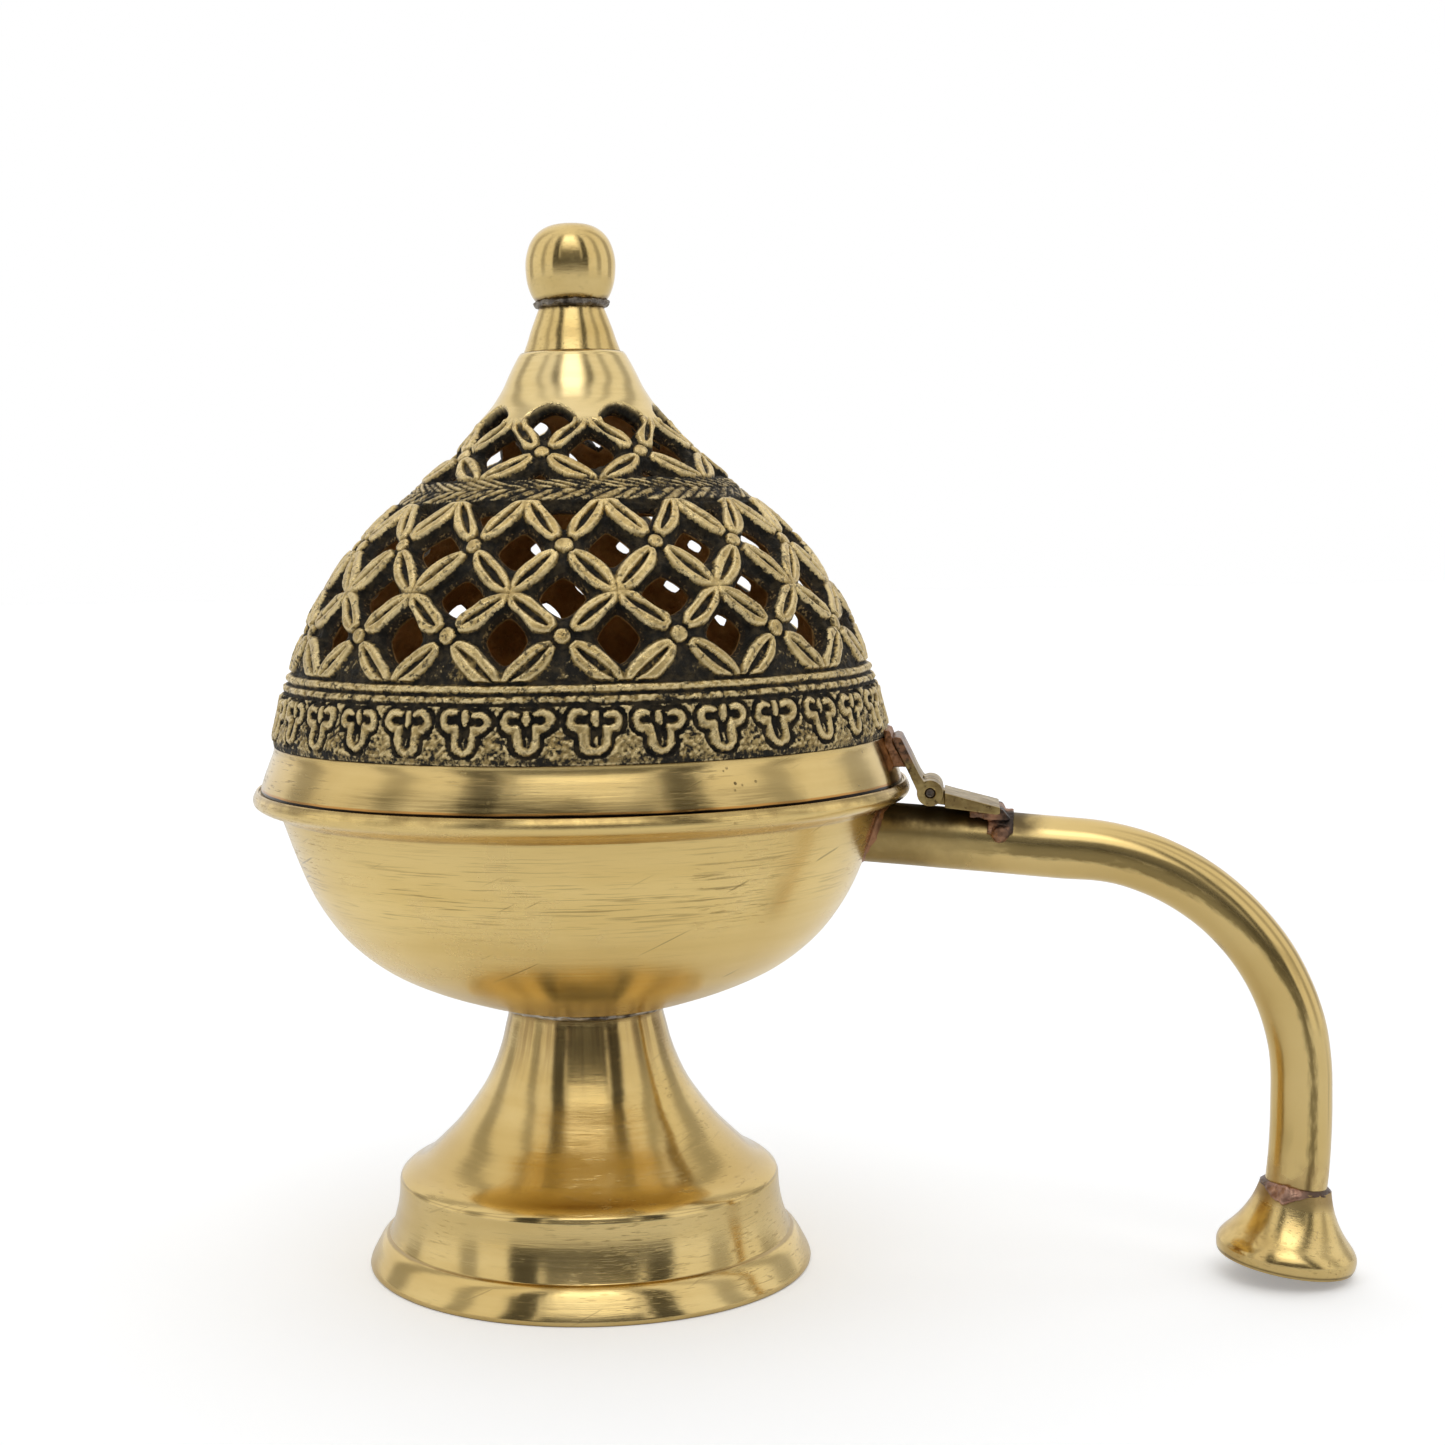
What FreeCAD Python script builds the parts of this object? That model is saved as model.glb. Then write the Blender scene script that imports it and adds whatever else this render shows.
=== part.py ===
import FreeCAD, Part
import math
import os

# Hand-held censer: a hollow turned foot, a round bowl with a rolled rim and a
# charcoal pan, a pierced dome lid on a pin hinge, and a bent tube handle ending
# in a flared bell that hangs just above the table.
# Millimetres. +Z up, origin at the centre of the foot on the table,
# handle along +X, hinge pin along Y.
# Turned outlines are lists of (radius, z) points; prisms use (x, z) points.

Vector = FreeCAD.Vector

# ------------------------------------------------------------- shared sizes
NECK_TOP_Z = 44.50          # top of the foot's neck
BOWL_BOTTOM_Z = 44.95
SEAT_Z = 83.20              # ledge inside the rim, below the lid
SEAT_GAP = 0.10             # between the ledge and the lid band
BAND_BOTTOM_Z = SEAT_Z + SEAT_GAP
BAND_TOP_Z = 91.15
DOME_BASE_Z = 91.20
DOME_TOP_Z = 156.40
TUBE_R = 5.0                # 10 mm stock tube
SPIGOT_R = 4.50             # finial neck's tenon in the dome's crown


# ------------------------------------------------------------------ helpers
def in_plane(point):
    """A (radius, z) point in the XZ plane."""
    return Vector(point[0], 0.0, point[1])


def spline(points):
    curve = Part.BSplineCurve()
    curve.interpolate([in_plane(point) for point in points])
    return curve.toShape()


def lines(*points):
    """Straight edges through the points in turn."""
    return [Part.makeLine(in_plane(start), in_plane(end))
            for start, end in zip(points, points[1:])]


def make_outward(solid):
    if solid.Volume < 0:
        solid.reverse()
    return solid


def turn(*edges):
    """Solid of revolution about Z from a closed run of edges in the XZ plane."""
    face = Part.Face(Part.Wire(Part.__sortEdges__(list(edges))))
    turned = face.revolve(Vector(0, 0, 0), Vector(0, 0, 1), 360)
    # a sweep that comes back as anything but a solid is closed into one
    if turned.ShapeType != "Solid":
        turned = Part.Solid(Part.Shell(turned.Faces))
    return make_outward(turned)


def offset(points, distance):
    """Profile moved towards its inner side by distance."""
    moved = []
    last = len(points) - 1
    for i, (radius, z) in enumerate(points):
        before = points[max(i - 1, 0)]
        after = points[min(i + 1, last)]
        dr, dz = after[0] - before[0], after[1] - before[1]
        length = math.hypot(dr, dz)
        moved.append((radius - distance * dz / length, z + distance * dr / length))
    return moved


def radius_at(points, z):
    """Radius of a rising profile at height z, straight between its points."""
    for (r0, z0), (r1, z1) in zip(points, points[1:]):
        if z0 <= z <= z1:
            return r0 + (r1 - r0) * (z - z0) / (z1 - z0)


def largest_solid(shape):
    return max(shape.Solids, key=lambda solid: solid.Volume)


def prism(outline, y0, y1):
    """Extrude an (x, z) outline from y0 to y1."""
    points = [Vector(x, y0, z) for x, z in outline]
    face = Part.Face(Part.makePolygon(points + [points[0]]))
    return face.extrude(Vector(0, y1 - y0, 0))


# --------------------------------------------------------------------- foot
FOOT_FLANGE = [
    (38.05, 0.0), (38.30, 0.35), (38.20, 1.10), (37.60, 2.35),
    (36.90, 3.65), (36.05, 4.95), (35.35, 5.60)]
FOOT_DRUM = [
    (34.80, 5.75), (34.25, 7.20), (33.60, 9.40), (33.15, 11.70),
    (32.95, 13.80), (32.90, 15.20)]
FOOT_TRUMPET = [
    (32.60, 15.95), (31.70, 16.75), (30.20, 17.55), (28.30, 18.80),
    (26.95, 20.00), (25.30, 21.60), (23.40, 23.50), (21.70, 25.50),
    (19.75, 28.10), (17.85, 30.90), (16.40, 33.70), (15.25, 36.55),
    (14.40, 39.30), (13.85, 41.65), (13.45, 43.30), (13.30, NECK_TOP_Z)]
FOOT_IN = [
    (35.50, 0.0), (35.45, 1.20), (34.70, 3.10), (33.70, 4.90),
    (32.95, 6.20), (32.10, 8.60), (31.50, 11.00), (31.20, 13.40),
    (30.40, 15.00), (28.60, 16.30), (26.40, 17.95), (23.20, 21.10),
    (19.60, 25.00), (16.60, 29.10), (14.30, 33.60), (12.90, 38.00),
    (12.00, 41.60), (11.70, NECK_TOP_Z)]


def make_foot():
    return turn(
        spline(FOOT_FLANGE),
        *lines(FOOT_FLANGE[-1], FOOT_DRUM[0]),
        spline(FOOT_DRUM),
        *lines(FOOT_DRUM[-1], FOOT_TRUMPET[0]),
        spline(FOOT_TRUMPET),
        *lines(FOOT_TRUMPET[-1], FOOT_IN[-1]),
        spline(FOOT_IN),
        *lines(FOOT_IN[0], FOOT_FLANGE[0]))


# --------------------------------------------------------------------- bowl
BOWL_WALL = 1.6
LIP_IN_R = 55.05            # upright inside the rim, outside the ledge
BOWL_OUT = [
    (13.20, BOWL_BOTTOM_Z), (17.20, 45.75), (21.80, 47.15), (26.20, 48.70),
    (30.20, 50.40), (33.60, 52.15), (36.40, 54.00), (39.10, 56.20),
    (41.70, 58.85), (43.90, 61.75), (45.90, 65.00), (47.60, 68.60),
    (49.45, 73.50), (50.95, 77.90), (51.35, 79.10)]
BEAD_OUT = [
    (51.35, 79.10), (52.30, 79.75), (53.80, 80.25), (55.30, 80.85),
    (56.00, 81.50), (56.15, 82.15), (56.00, 82.80), (55.65, 83.40)]
LIP_TOP = [(55.65, 83.40), (55.45, 83.62), (55.20, 83.66), (LIP_IN_R, 83.50)]
BOWL_IN = ([(BOWL_OUT[0][0], BOWL_BOTTOM_Z + BOWL_WALL)]
           + offset(BOWL_OUT, BOWL_WALL)[1:-1]
           + [(49.75, 79.3), (50.60, 81.6), (50.90, SEAT_Z)])


def bowl_outside():
    return [*lines((0, BOWL_BOTTOM_Z), BOWL_OUT[0]),
            spline(BOWL_OUT), spline(BEAD_OUT), spline(LIP_TOP)]


def make_bowl():
    return turn(
        *bowl_outside(),
        *lines(LIP_TOP[-1], (LIP_IN_R, SEAT_Z), BOWL_IN[-1]),
        spline(BOWL_IN),
        *lines(BOWL_IN[0], (0, BOWL_IN[0][1]), (0, BOWL_BOTTOM_Z)))


def make_bowl_filled():
    """The bowl as a filled body, for trimming whatever meets its outside."""
    return turn(
        *bowl_outside(),
        *lines(LIP_TOP[-1], (0, LIP_TOP[-1][1]), (0, BOWL_BOTTOM_Z)))


def make_bowl_foot_solder(bowl_filled, foot):
    """Soft-solder ring between the neck of the foot and the bowl."""
    inner_r = 11.75
    top_z = NECK_TOP_Z + 0.70
    bulge = [(13.40, NECK_TOP_Z), (14.10, NECK_TOP_Z + 0.15),
             (14.45, NECK_TOP_Z + 0.50), (14.30, top_z)]
    ring = turn(
        *lines((inner_r, NECK_TOP_Z), bulge[0]),
        spline(bulge),
        *lines(bulge[-1], (inner_r, top_z), (inner_r, NECK_TOP_Z)))
    return largest_solid(ring.cut(bowl_filled).cut(foot))


# -------------------------------------------------------------- handle tube
# Centreline in the XZ plane: straight run, bend, short straight drop, slow curve.
TUBE_BORE_R = 4.0
TUBE_SLOPE = 4.95           # fall of the straight run, degrees
RUN_LEN = 38.97
BEND_R = 39.10
BEND_X, BEND_Z = 80.95, 32.861      # centre of the bend
DROP_Z = 29.89              # foot of the short straight drop
TAIL_R = 122.5              # slow curve below the drop
TAIL_SWEEP = 7.1            # degrees


def arc_point(centre_x, centre_z, radius, degrees):
    angle = math.radians(degrees)
    return Vector(centre_x + radius * math.cos(angle), 0,
                  centre_z + radius * math.sin(angle))


slope = math.radians(TUBE_SLOPE)
run_dir = Vector(math.cos(slope), 0, -math.sin(slope))
bend_start = Vector(BEND_X + BEND_R * math.sin(slope), 0,
                    BEND_Z + BEND_R * math.cos(slope))
run_start = bend_start - run_dir * RUN_LEN
bend_end = Vector(BEND_X + BEND_R, 0, BEND_Z)
drop_end = Vector(bend_end.x, 0, DROP_Z)
tail_x = bend_end.x - TAIL_R        # centre of the slow curve, at DROP_Z
tail_end = arc_point(tail_x, DROP_Z, TAIL_R, -TAIL_SWEEP)


def tube_rod(radius):
    """Solid rod of the given radius along the whole centreline."""
    bend_middle = arc_point(BEND_X, BEND_Z, BEND_R, 45.0)
    tail_middle = arc_point(tail_x, DROP_Z, TAIL_R, -TAIL_SWEEP / 2)
    path = Part.Wire([
        Part.makeLine(run_start, bend_start),
        Part.Arc(bend_start, bend_middle, bend_end).toShape(),
        Part.makeLine(bend_end, drop_end),
        Part.Arc(drop_end, tail_middle, tail_end).toShape(),
    ])
    ring = Part.Wire(Part.makeCircle(radius, run_start, run_dir))
    return path.makePipeShell([ring], True, True)


def make_handle_tube(tube_filled, bowl_filled):
    return largest_solid(tube_filled.cut(tube_rod(TUBE_BORE_R)).cut(bowl_filled))


def make_handle_braze(bowl_filled, tube_filled):
    """Braze collar where the tube meets the bowl: a cone kept close to the bowl."""
    reach = 1.5                 # how far the collar stands off the bowl
    cone = Part.makeCone(TUBE_R + 1.6, TUBE_R + 0.05, 12.0,
                         run_start + run_dir * 1.5, run_dir)
    swollen = offset(BOWL_OUT, -reach)
    bowl_swollen = turn(
        *lines((0, BOWL_BOTTOM_Z), BOWL_OUT[0], swollen[1]),
        spline(swollen[1:]),
        *lines(swollen[-1], (0, swollen[-1][1]), (0, BOWL_BOTTOM_Z)))
    return largest_solid(cone.common(bowl_swollen).cut(bowl_filled).cut(tube_filled))


# --------------------------------------------------------------------- bell
# Outlines are (radius, distance down the bell's axis).
BELL_TILT = 8.0             # bell axis from vertical, degrees
BELL_LEN = 12.80
BELL_LAP = 0.4              # bell's small end above the tube's end
BELL_OUT = [
    (5.75, 0.0), (6.35, 2.2), (7.20, 4.3), (8.40, 6.4), (9.80, 8.2),
    (10.90, 9.5), (11.38, 10.5), (11.45, 11.3), (11.32, 12.1), (11.0, BELL_LEN)]
BELL_SOCKET_TOP = (4.85, 0.0)       # start of the straight socket
BELL_IN = [
    (4.85, 2.2), (5.9, 4.0), (7.15, 6.3), (8.5, 8.4),
    (9.5, 10.0), (9.95, 11.4), (10.0, BELL_LEN)]


def seat_on_tail(shape):
    """Turn a part made along +Z so +Z runs down the bell's axis, at the tube's end."""
    tilt = math.radians(BELL_TILT)
    bell_dir = Vector(-math.sin(tilt), 0, -math.cos(tilt))
    seated = shape.copy()
    seated.rotate(Vector(0, 0, 0), Vector(0, 1, 0), 180 + BELL_TILT)
    seated.translate(tail_end - bell_dir * BELL_LAP)
    return seated


def make_handle_bell(tube_filled):
    bell = turn(
        spline(BELL_OUT),
        *lines(BELL_OUT[-1], BELL_IN[-1]),
        spline(BELL_IN),
        *lines(BELL_IN[0], BELL_SOCKET_TOP, BELL_OUT[0]))
    return largest_solid(seat_on_tail(bell).cut(tube_filled))


def make_bell_braze(tube_filled):
    """Ring of braze round the tube at the bell's small end."""
    inner_r = 4.6
    fillet = [(5.10, -0.55), (5.38, -0.34), (5.68, -0.08), (5.85, 0.20)]
    ring = turn(
        *lines((inner_r, fillet[0][1]), fillet[0]),
        spline(fillet),
        *lines(fillet[-1], (inner_r, fillet[-1][1]), (inner_r, fillet[0][1])))
    bell_filled = turn(
        *lines((0, 0), BELL_OUT[0]),
        spline(BELL_OUT),
        *lines(BELL_OUT[-1], (0, BELL_LEN), (0, 0)))
    return largest_solid(seat_on_tail(ring).cut(tube_filled).cut(seat_on_tail(bell_filled)))


# ----------------------------------------------------------------- lid band
BAND_OUT = [
    (54.75, BAND_BOTTOM_Z), (54.70, 83.60), (54.35, 84.90), (53.90, 86.20),
    (53.35, 87.60), (52.80, 89.00), (52.40, 90.30), (52.45, BAND_TOP_Z)]
BAND_IN = [
    (52.45, BAND_BOTTOM_Z), (52.25, 84.90), (51.75, 86.40), (51.10, 88.00),
    (50.45, 89.70), (50.10, BAND_TOP_Z)]


def make_lid_band():
    return turn(
        spline(BAND_OUT),
        *lines(BAND_OUT[-1], BAND_IN[-1]),
        spline(BAND_IN),
        *lines(BAND_IN[0], BAND_OUT[0]))


# ------------------------------------------------------------- pierced dome
DOME_WALL = 2.6
DOME_OUT = [
    (52.20, DOME_BASE_Z), (52.25, 92.30), (51.65, 95.10), (50.95, 98.00),
    (50.35, 100.65), (49.30, 103.40), (48.60, 106.10), (47.45, 109.00),
    (46.35, 111.70), (45.00, 114.50), (43.25, 117.20), (41.55, 120.05),
    (39.60, 122.80), (37.15, 125.50), (34.50, 128.30), (31.35, 131.10),
    (28.10, 133.90), (24.80, 136.70), (21.60, 139.50), (18.60, 142.20),
    (15.95, 144.95), (13.40, 147.80)]
CROWN_OUT = [(13.40, 147.80), (12.50, 149.15), (11.75, 150.40), (10.40, 153.20),
             (9.00, 155.80)]
DOME_IN = ([(49.60, DOME_BASE_Z)]
           + offset(DOME_OUT, DOME_WALL)[1:-1]
           + [(11.35, 145.95), (10.10, 147.65), (8.95, 149.30)])
CROWN_TOP_R = 8.90          # flat top of the crown
CROWN_PLATE_Z = 151.2       # underside of the plate round the spigot hole
CROWN_PLATE_R = 8.00

RIBS = [(101.0, 0.45), (102.95, 0.35), (133.6, 0.40)]   # raised rings: (z, radius)
RIB_CLEAR = 0.4             # curve points closer to a rib than this are left out


def diamond(half_width, half_height, flat=0.22):
    """Diamond outline with small flats across its four corners."""
    corners = [(half_width, 0), (0, half_height), (-half_width, 0), (0, -half_height)]
    points = []
    for (x0, y0), (x1, y1) in zip(corners, corners[1:] + corners[:1]):
        points.append((x0 + (x1 - x0) * flat, y0 + (y1 - y0) * flat))
        points.append((x1 + (x0 - x1) * flat, y1 + (y0 - y1) * flat))
    return points


# Hole outlines: (round the dome, up the dome) from the hole's centre
TRIANGLE = [(across * 1.05, up * 0.95) for across, up in [
    (3.2, 1.6), (2.6, 2.2), (-2.6, 2.2), (-3.2, 1.6), (-0.6, -2.9), (0.6, -2.9)]]
ARCH = [(3.4, -0.9), (3.3, 1.0), (2.3, 2.5), (0.8, 3.2), (-0.8, 3.2),
        (-2.3, 2.5), (-3.3, 1.0), (-3.4, -0.9), (-0.7, -3.6), (0.7, -3.6)]
LOW_TRIANGLE = [(3.4, -1.5), (0.7, 2.0), (-0.7, 2.0), (-3.4, -1.5), (-2.8, -2.1), (2.8, -2.1)]

# Flower groups. phase: degrees from +X to the first flower.
# holes: (shift in pitches, z, outline, scale at the inner face)
# bosses, one in the middle of each flower: (z, base radius, tip radius)
FLOWER_GROUPS = [
    dict(count=16, phase=5.9,
         holes=[(0.5, 110.65, diamond(5.60, 5.00), 0.68),
                (0, 117.25, diamond(5.30, 5.10), 0.68),
                (0.5, 124.75, diamond(4.55, 5.00), 0.68),
                (0, 129.9, TRIANGLE, 0.68)],
         bosses=[(110.65, 1.45, 1.05), (124.75, 1.45, 1.05)]),
    dict(count=8, phase=39.65,
         holes=[(0.5, 140.25, diamond(4.4, 5.2), 0.68),
                (0, 143.9, ARCH, 0.66),
                (0, 137.05, LOW_TRIANGLE, 0.66)],
         bosses=[(139.60, 1.35, 0.95)]),
]
BOSS_LEN = 1.1
BOSS_SUNK = 0.7             # part of the boss inside the wall
TOOL_OUTSIDE = 1.6          # hole tool beyond the outer face
TOOL_INSIDE = 2.2           # hole tool beyond the inner face


def ribbed(points):
    """Edges along the dome's outside with a half-round ring standing at each rib."""
    edges = []
    run = [points[0]]
    ribs_left = list(RIBS)
    for point in points[1:]:
        while ribs_left and point[1] > ribs_left[0][0] - ribs_left[0][1]:
            z, size = ribs_left.pop(0)
            r_low, r_high = radius_at(points, z - size), radius_at(points, z + size)
            low, high = (r_low, z - size), (r_high, z + size)
            run = [kept for kept in run if kept[1] < z - size - RIB_CLEAR] + [low]
            edges.append(spline(run))
            chord = math.hypot(r_high - r_low, 2 * size)
            crest = (radius_at(points, z) + size * 2 * size / chord,
                     z - size * (r_high - r_low) / chord)
            edges.append(Part.Arc(in_plane(low), in_plane(crest), in_plane(high)).toShape())
            run = [high]
        if point[1] > run[-1][1] + RIB_CLEAR:
            run.append(point)
    edges.append(spline(run))
    return edges


def surface_frame(degrees, z):
    """Point, outward normal, round-the-dome tangent and up-the-dome tangent."""
    reach = 2.0                 # slope is measured this far above and below z
    radius = radius_at(DOME_OUT, z)
    dr = radius_at(DOME_OUT, z + reach) - radius_at(DOME_OUT, z - reach)
    dz = 2 * reach
    cos, sin = math.cos(math.radians(degrees)), math.sin(math.radians(degrees))
    length = math.hypot(dr, dz)
    point = Vector(radius * cos, radius * sin, z)
    normal = Vector(cos * dz / length, sin * dz / length, -dr / length)
    tangent = Vector(-sin, cos, 0)
    up = Vector(cos * dr / length, sin * dr / length, dz / length)
    return point, normal, tangent, up


def tapered_hole(degrees, z, outline, inner_scale):
    """Frustum through the wall: the outline at the outer face, scaled at the inner face."""
    point, normal, tangent, up = surface_frame(degrees, z)
    growth = (1.0 - inner_scale) / DOME_WALL
    rings = []
    for height in (TOOL_OUTSIDE, -DOME_WALL - TOOL_INSIDE):
        scale = 1.0 + growth * height
        rings.append([point + normal * height + tangent * (a * scale) + up * (b * scale)
                      for a, b in outline])
    outer, inner = rings
    loops = []
    for i in range(len(outline)):
        j = (i + 1) % len(outline)
        loops.append([outer[i], outer[j], inner[j], inner[i]])
    loops += rings
    faces = [Part.Face(Part.makePolygon(loop + [loop[0]])) for loop in loops]
    return make_outward(Part.Solid(Part.Shell(faces)))


def boss(degrees, z, base_r, tip_r):
    point, normal, _, _ = surface_frame(degrees, z)
    return Part.makeCone(base_r, tip_r, BOSS_LEN, point - normal * BOSS_SUNK, normal)


def make_pierced_dome():
    dome = turn(
        *ribbed(DOME_OUT),
        spline(CROWN_OUT),
        *lines(CROWN_OUT[-1], (CROWN_TOP_R, DOME_TOP_Z), (SPIGOT_R, DOME_TOP_Z),
               (SPIGOT_R, CROWN_PLATE_Z), (CROWN_PLATE_R, CROWN_PLATE_Z), DOME_IN[-1]),
        spline(DOME_IN),
        *lines(DOME_IN[0], DOME_OUT[0]))
    holes = []
    bosses = []
    for group in FLOWER_GROUPS:
        pitch = 360.0 / group["count"]
        for k in range(group["count"]):
            flower = group["phase"] + pitch * k
            for shift, z, outline, inner_scale in group["holes"]:
                holes.append(tapered_hole(flower + shift * pitch, z, outline, inner_scale))
            for z, base_r, tip_r in group["bosses"]:
                bosses.append(boss(flower, z, base_r, tip_r))
    return largest_solid(largest_solid(dome.cut(holes)).fuse(bosses))


# ------------------------------------------------------------------- finial
SPIGOT_BOTTOM_Z = 152.0
NECK_END_Z = 164.15         # top of the finial's neck
BALL_TOP_Z = 178.05
BALL_SPIGOT_R = 2.00        # ball's tenon in the finial's neck
BALL_SPIGOT_Z = 159.2       # its lower end
SOCKET_Z = 159.0            # floor of the socket it stands in
NECK_OUT = [(8.30, DOME_TOP_Z), (7.45, 158.65), (7.00, 160.05), (6.00, 162.70),
            (5.45, NECK_END_Z)]
BALL_OUT = [
    (5.55, 164.75), (6.00, 165.15), (6.95, 166.80), (7.35, 168.15),
    (7.54, 169.55), (7.53, 172.20), (7.27, 173.45), (6.76, 174.85),
    (5.85, 176.20), (3.75, 177.60), (0.0, BALL_TOP_Z)]
FINIAL_SOLDER_OUT = [(5.50, NECK_END_Z), (6.05, 164.20), (6.30, 164.55),
                     (6.15, 165.00), (5.75, 165.05)]


def make_finial_neck():
    return turn(
        *lines((0, SPIGOT_BOTTOM_Z), (SPIGOT_R, SPIGOT_BOTTOM_Z),
               (SPIGOT_R, DOME_TOP_Z), NECK_OUT[0]),
        spline(NECK_OUT),
        *lines(NECK_OUT[-1], (BALL_SPIGOT_R, NECK_END_Z), (BALL_SPIGOT_R, SOCKET_Z),
               (0, SOCKET_Z), (0, SPIGOT_BOTTOM_Z)))


def make_finial_ball():
    return turn(
        *lines((0, BALL_SPIGOT_Z), (BALL_SPIGOT_R, BALL_SPIGOT_Z),
               (BALL_SPIGOT_R, BALL_OUT[0][1]), BALL_OUT[0]),
        spline(BALL_OUT),
        *lines(BALL_OUT[-1], (0, BALL_SPIGOT_Z)))


def make_finial_solder(finial_ball, finial_neck):
    """Solder ring between the finial's neck and ball."""
    outside = FINIAL_SOLDER_OUT
    ring = turn(
        *lines((BALL_SPIGOT_R, NECK_END_Z), outside[0]),
        spline(outside),
        *lines(outside[-1], (BALL_SPIGOT_R, outside[-1][1]), (BALL_SPIGOT_R, NECK_END_Z)))
    return largest_solid(ring.cut(finial_ball).cut(finial_neck))


# -------------------------------------------------------------------- hinge
PIN_X, PIN_Z = 59.50, 81.75
PIN_R = 0.90
PIN_INSET = 0.35            # pin ends inside the outer knuckles
KNUCKLE_R = 2.16
HINGE_HALF_W = 6.40
CENTRE_HALF_W = 2.10        # half width of the centre knuckle
KNUCKLE_GAP = 0.15
SLOT_HALF_W = CENTRE_HALF_W + KNUCKLE_GAP
PIN_RUNNING = 0.05          # radial clearance in the centre knuckle

LID_LEAF = [
    (58.55, 83.60), (57.75, 84.90), (54.85, 90.95), (54.05, 91.20), (53.35, 90.85),
    (53.50, 90.40), (56.30, 84.60), (57.42, 82.05), (57.75, 80.90), (60.30, 83.60)]
HANDLE_LEAF = [(61.90, 81.80), (70.90, 79.35), (70.95, 78.35), (70.40, 78.15),
               (61.90, 79.30)]
HANDLE_LEAF_WEB = [(60.20, 82.15), (62.30, 81.70), (62.30, 79.25), (59.80, 79.60)]
LID_LEAF_BRAZE = [(55.60, 86.10), (53.30, 91.10), (52.90, 92.10), (51.00, 92.60),
                  (51.00, 86.60), (53.4, 86.2)]
HANDLE_LEAF_BRAZE = [(66.0, 77.6), (71.1, 76.9), (72.6, 77.2), (71.4, 78.9),
                     (70.9, 79.1), (66.0, 79.6)]


def pin_cylinder(radius, y0, y1):
    """Cylinder on the pin's axis from y0 to y1."""
    return Part.makeCylinder(radius, y1 - y0, Vector(PIN_X, y0, PIN_Z), Vector(0, 1, 0))


def make_hinge_pin():
    pin = pin_cylinder(PIN_R, -HINGE_HALF_W + PIN_INSET, HINGE_HALF_W - PIN_INSET)
    return pin.makeChamfer(0.2, [edge for edge in pin.Edges if edge.Closed])


def make_lid_hinge_leaf(bowl_filled):
    """Plate leaning in towards the dome, one knuckle at each end."""
    plate = prism(LID_LEAF, -HINGE_HALF_W, HINGE_HALF_W)
    # keep the plate clear of the barrel where the centre knuckle turns
    notch = pin_cylinder(KNUCKLE_R + 0.30, -SLOT_HALF_W, SLOT_HALF_W)
    low_cut = Part.makeBox(8, 2 * SLOT_HALF_W, 4.0, Vector(55.5, -SLOT_HALF_W, 79.4))
    leaf = plate.fuse([pin_cylinder(KNUCKLE_R, -HINGE_HALF_W, -SLOT_HALF_W),
                       pin_cylinder(KNUCKLE_R, SLOT_HALF_W, HINGE_HALF_W)])
    leaf = leaf.cut(notch).cut(low_cut).cut(pin_cylinder(PIN_R, -10, 10))
    return largest_solid(leaf.cut(bowl_filled))


def make_handle_hinge_leaf(tube_filled):
    """Tapered plate lying along the tube, with the centre knuckle."""
    plate = prism(HANDLE_LEAF, -HINGE_HALF_W, HINGE_HALF_W)
    web = prism(HANDLE_LEAF_WEB, -CENTRE_HALF_W, CENTRE_HALF_W)
    leaf = plate.fuse([web, pin_cylinder(KNUCKLE_R, -CENTRE_HALF_W, CENTRE_HALF_W)])
    leaf = leaf.cut(pin_cylinder(PIN_R + PIN_RUNNING, -10, 10))
    return largest_solid(leaf.cut(tube_filled))


def make_lid_leaf_braze(lid_hinge_leaf):
    """Braze between the lid leaf and the band, trimmed by the filled lid."""
    lid_filled = turn(
        spline(BAND_OUT),
        *lines(BAND_OUT[-1], DOME_OUT[0]),
        spline(DOME_OUT),
        *lines(DOME_OUT[-1], (0, DOME_OUT[-1][1]), (0, BAND_BOTTOM_Z), BAND_OUT[0]))
    braze = prism(LID_LEAF_BRAZE, -5.9, 5.9)
    return largest_solid(braze.cut(lid_filled).cut(lid_hinge_leaf))


def make_hinge_leaf_braze(tube_filled, handle_hinge_leaf):
    """Braze holding the handle leaf on the tube, with a round run on the -Y side."""
    half_w = 5.3
    sleeve = Part.makeCylinder(TUBE_R + 0.55, 4.2, Vector(68.6, 0, 73.2), run_dir)
    top_box = Part.makeBox(12, 2 * half_w, 9, Vector(66.5, -half_w, 74.9))
    saddle = sleeve.common(top_box)
    under = prism(HANDLE_LEAF_BRAZE, -5.0, 5.0)
    blob = Part.makeSphere(1.50, Vector(70.9, -4.60, 74.70), Vector(0.35, 0.85, 0.4))
    braze = largest_solid(largest_solid(saddle.fuse(under)).fuse(blob))
    return largest_solid(largest_solid(braze.cut(tube_filled)).cut(handle_hinge_leaf))


# ------------------------------------------------------------- charcoal pan
PAN_WALL = 0.9
PAN_Z = 54.0                # underside of the pan, clear of the bowl's floor
PAN_RIM_Z = PAN_Z + 9.70    # underside of the rim
PAN_RIM_TOP_Z = PAN_RIM_Z + PAN_WALL
PAN_RIM_R = 43.30
PAN_EDGE_R = PAN_RIM_R - PAN_WALL / 2       # where the rim's rounded edge starts
PAN_OUT = [(28.00, PAN_Z), (31.50, PAN_Z + 1.2), (35.20, PAN_Z + 3.9),
           (38.20, PAN_Z + 6.9), (39.90, PAN_Z + 9.55)]
PAN_IN = ([(27.50, PAN_Z + PAN_WALL)]
          + offset(PAN_OUT, PAN_WALL)[1:-1]
          + [(39.05, PAN_Z + 9.95)])


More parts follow.
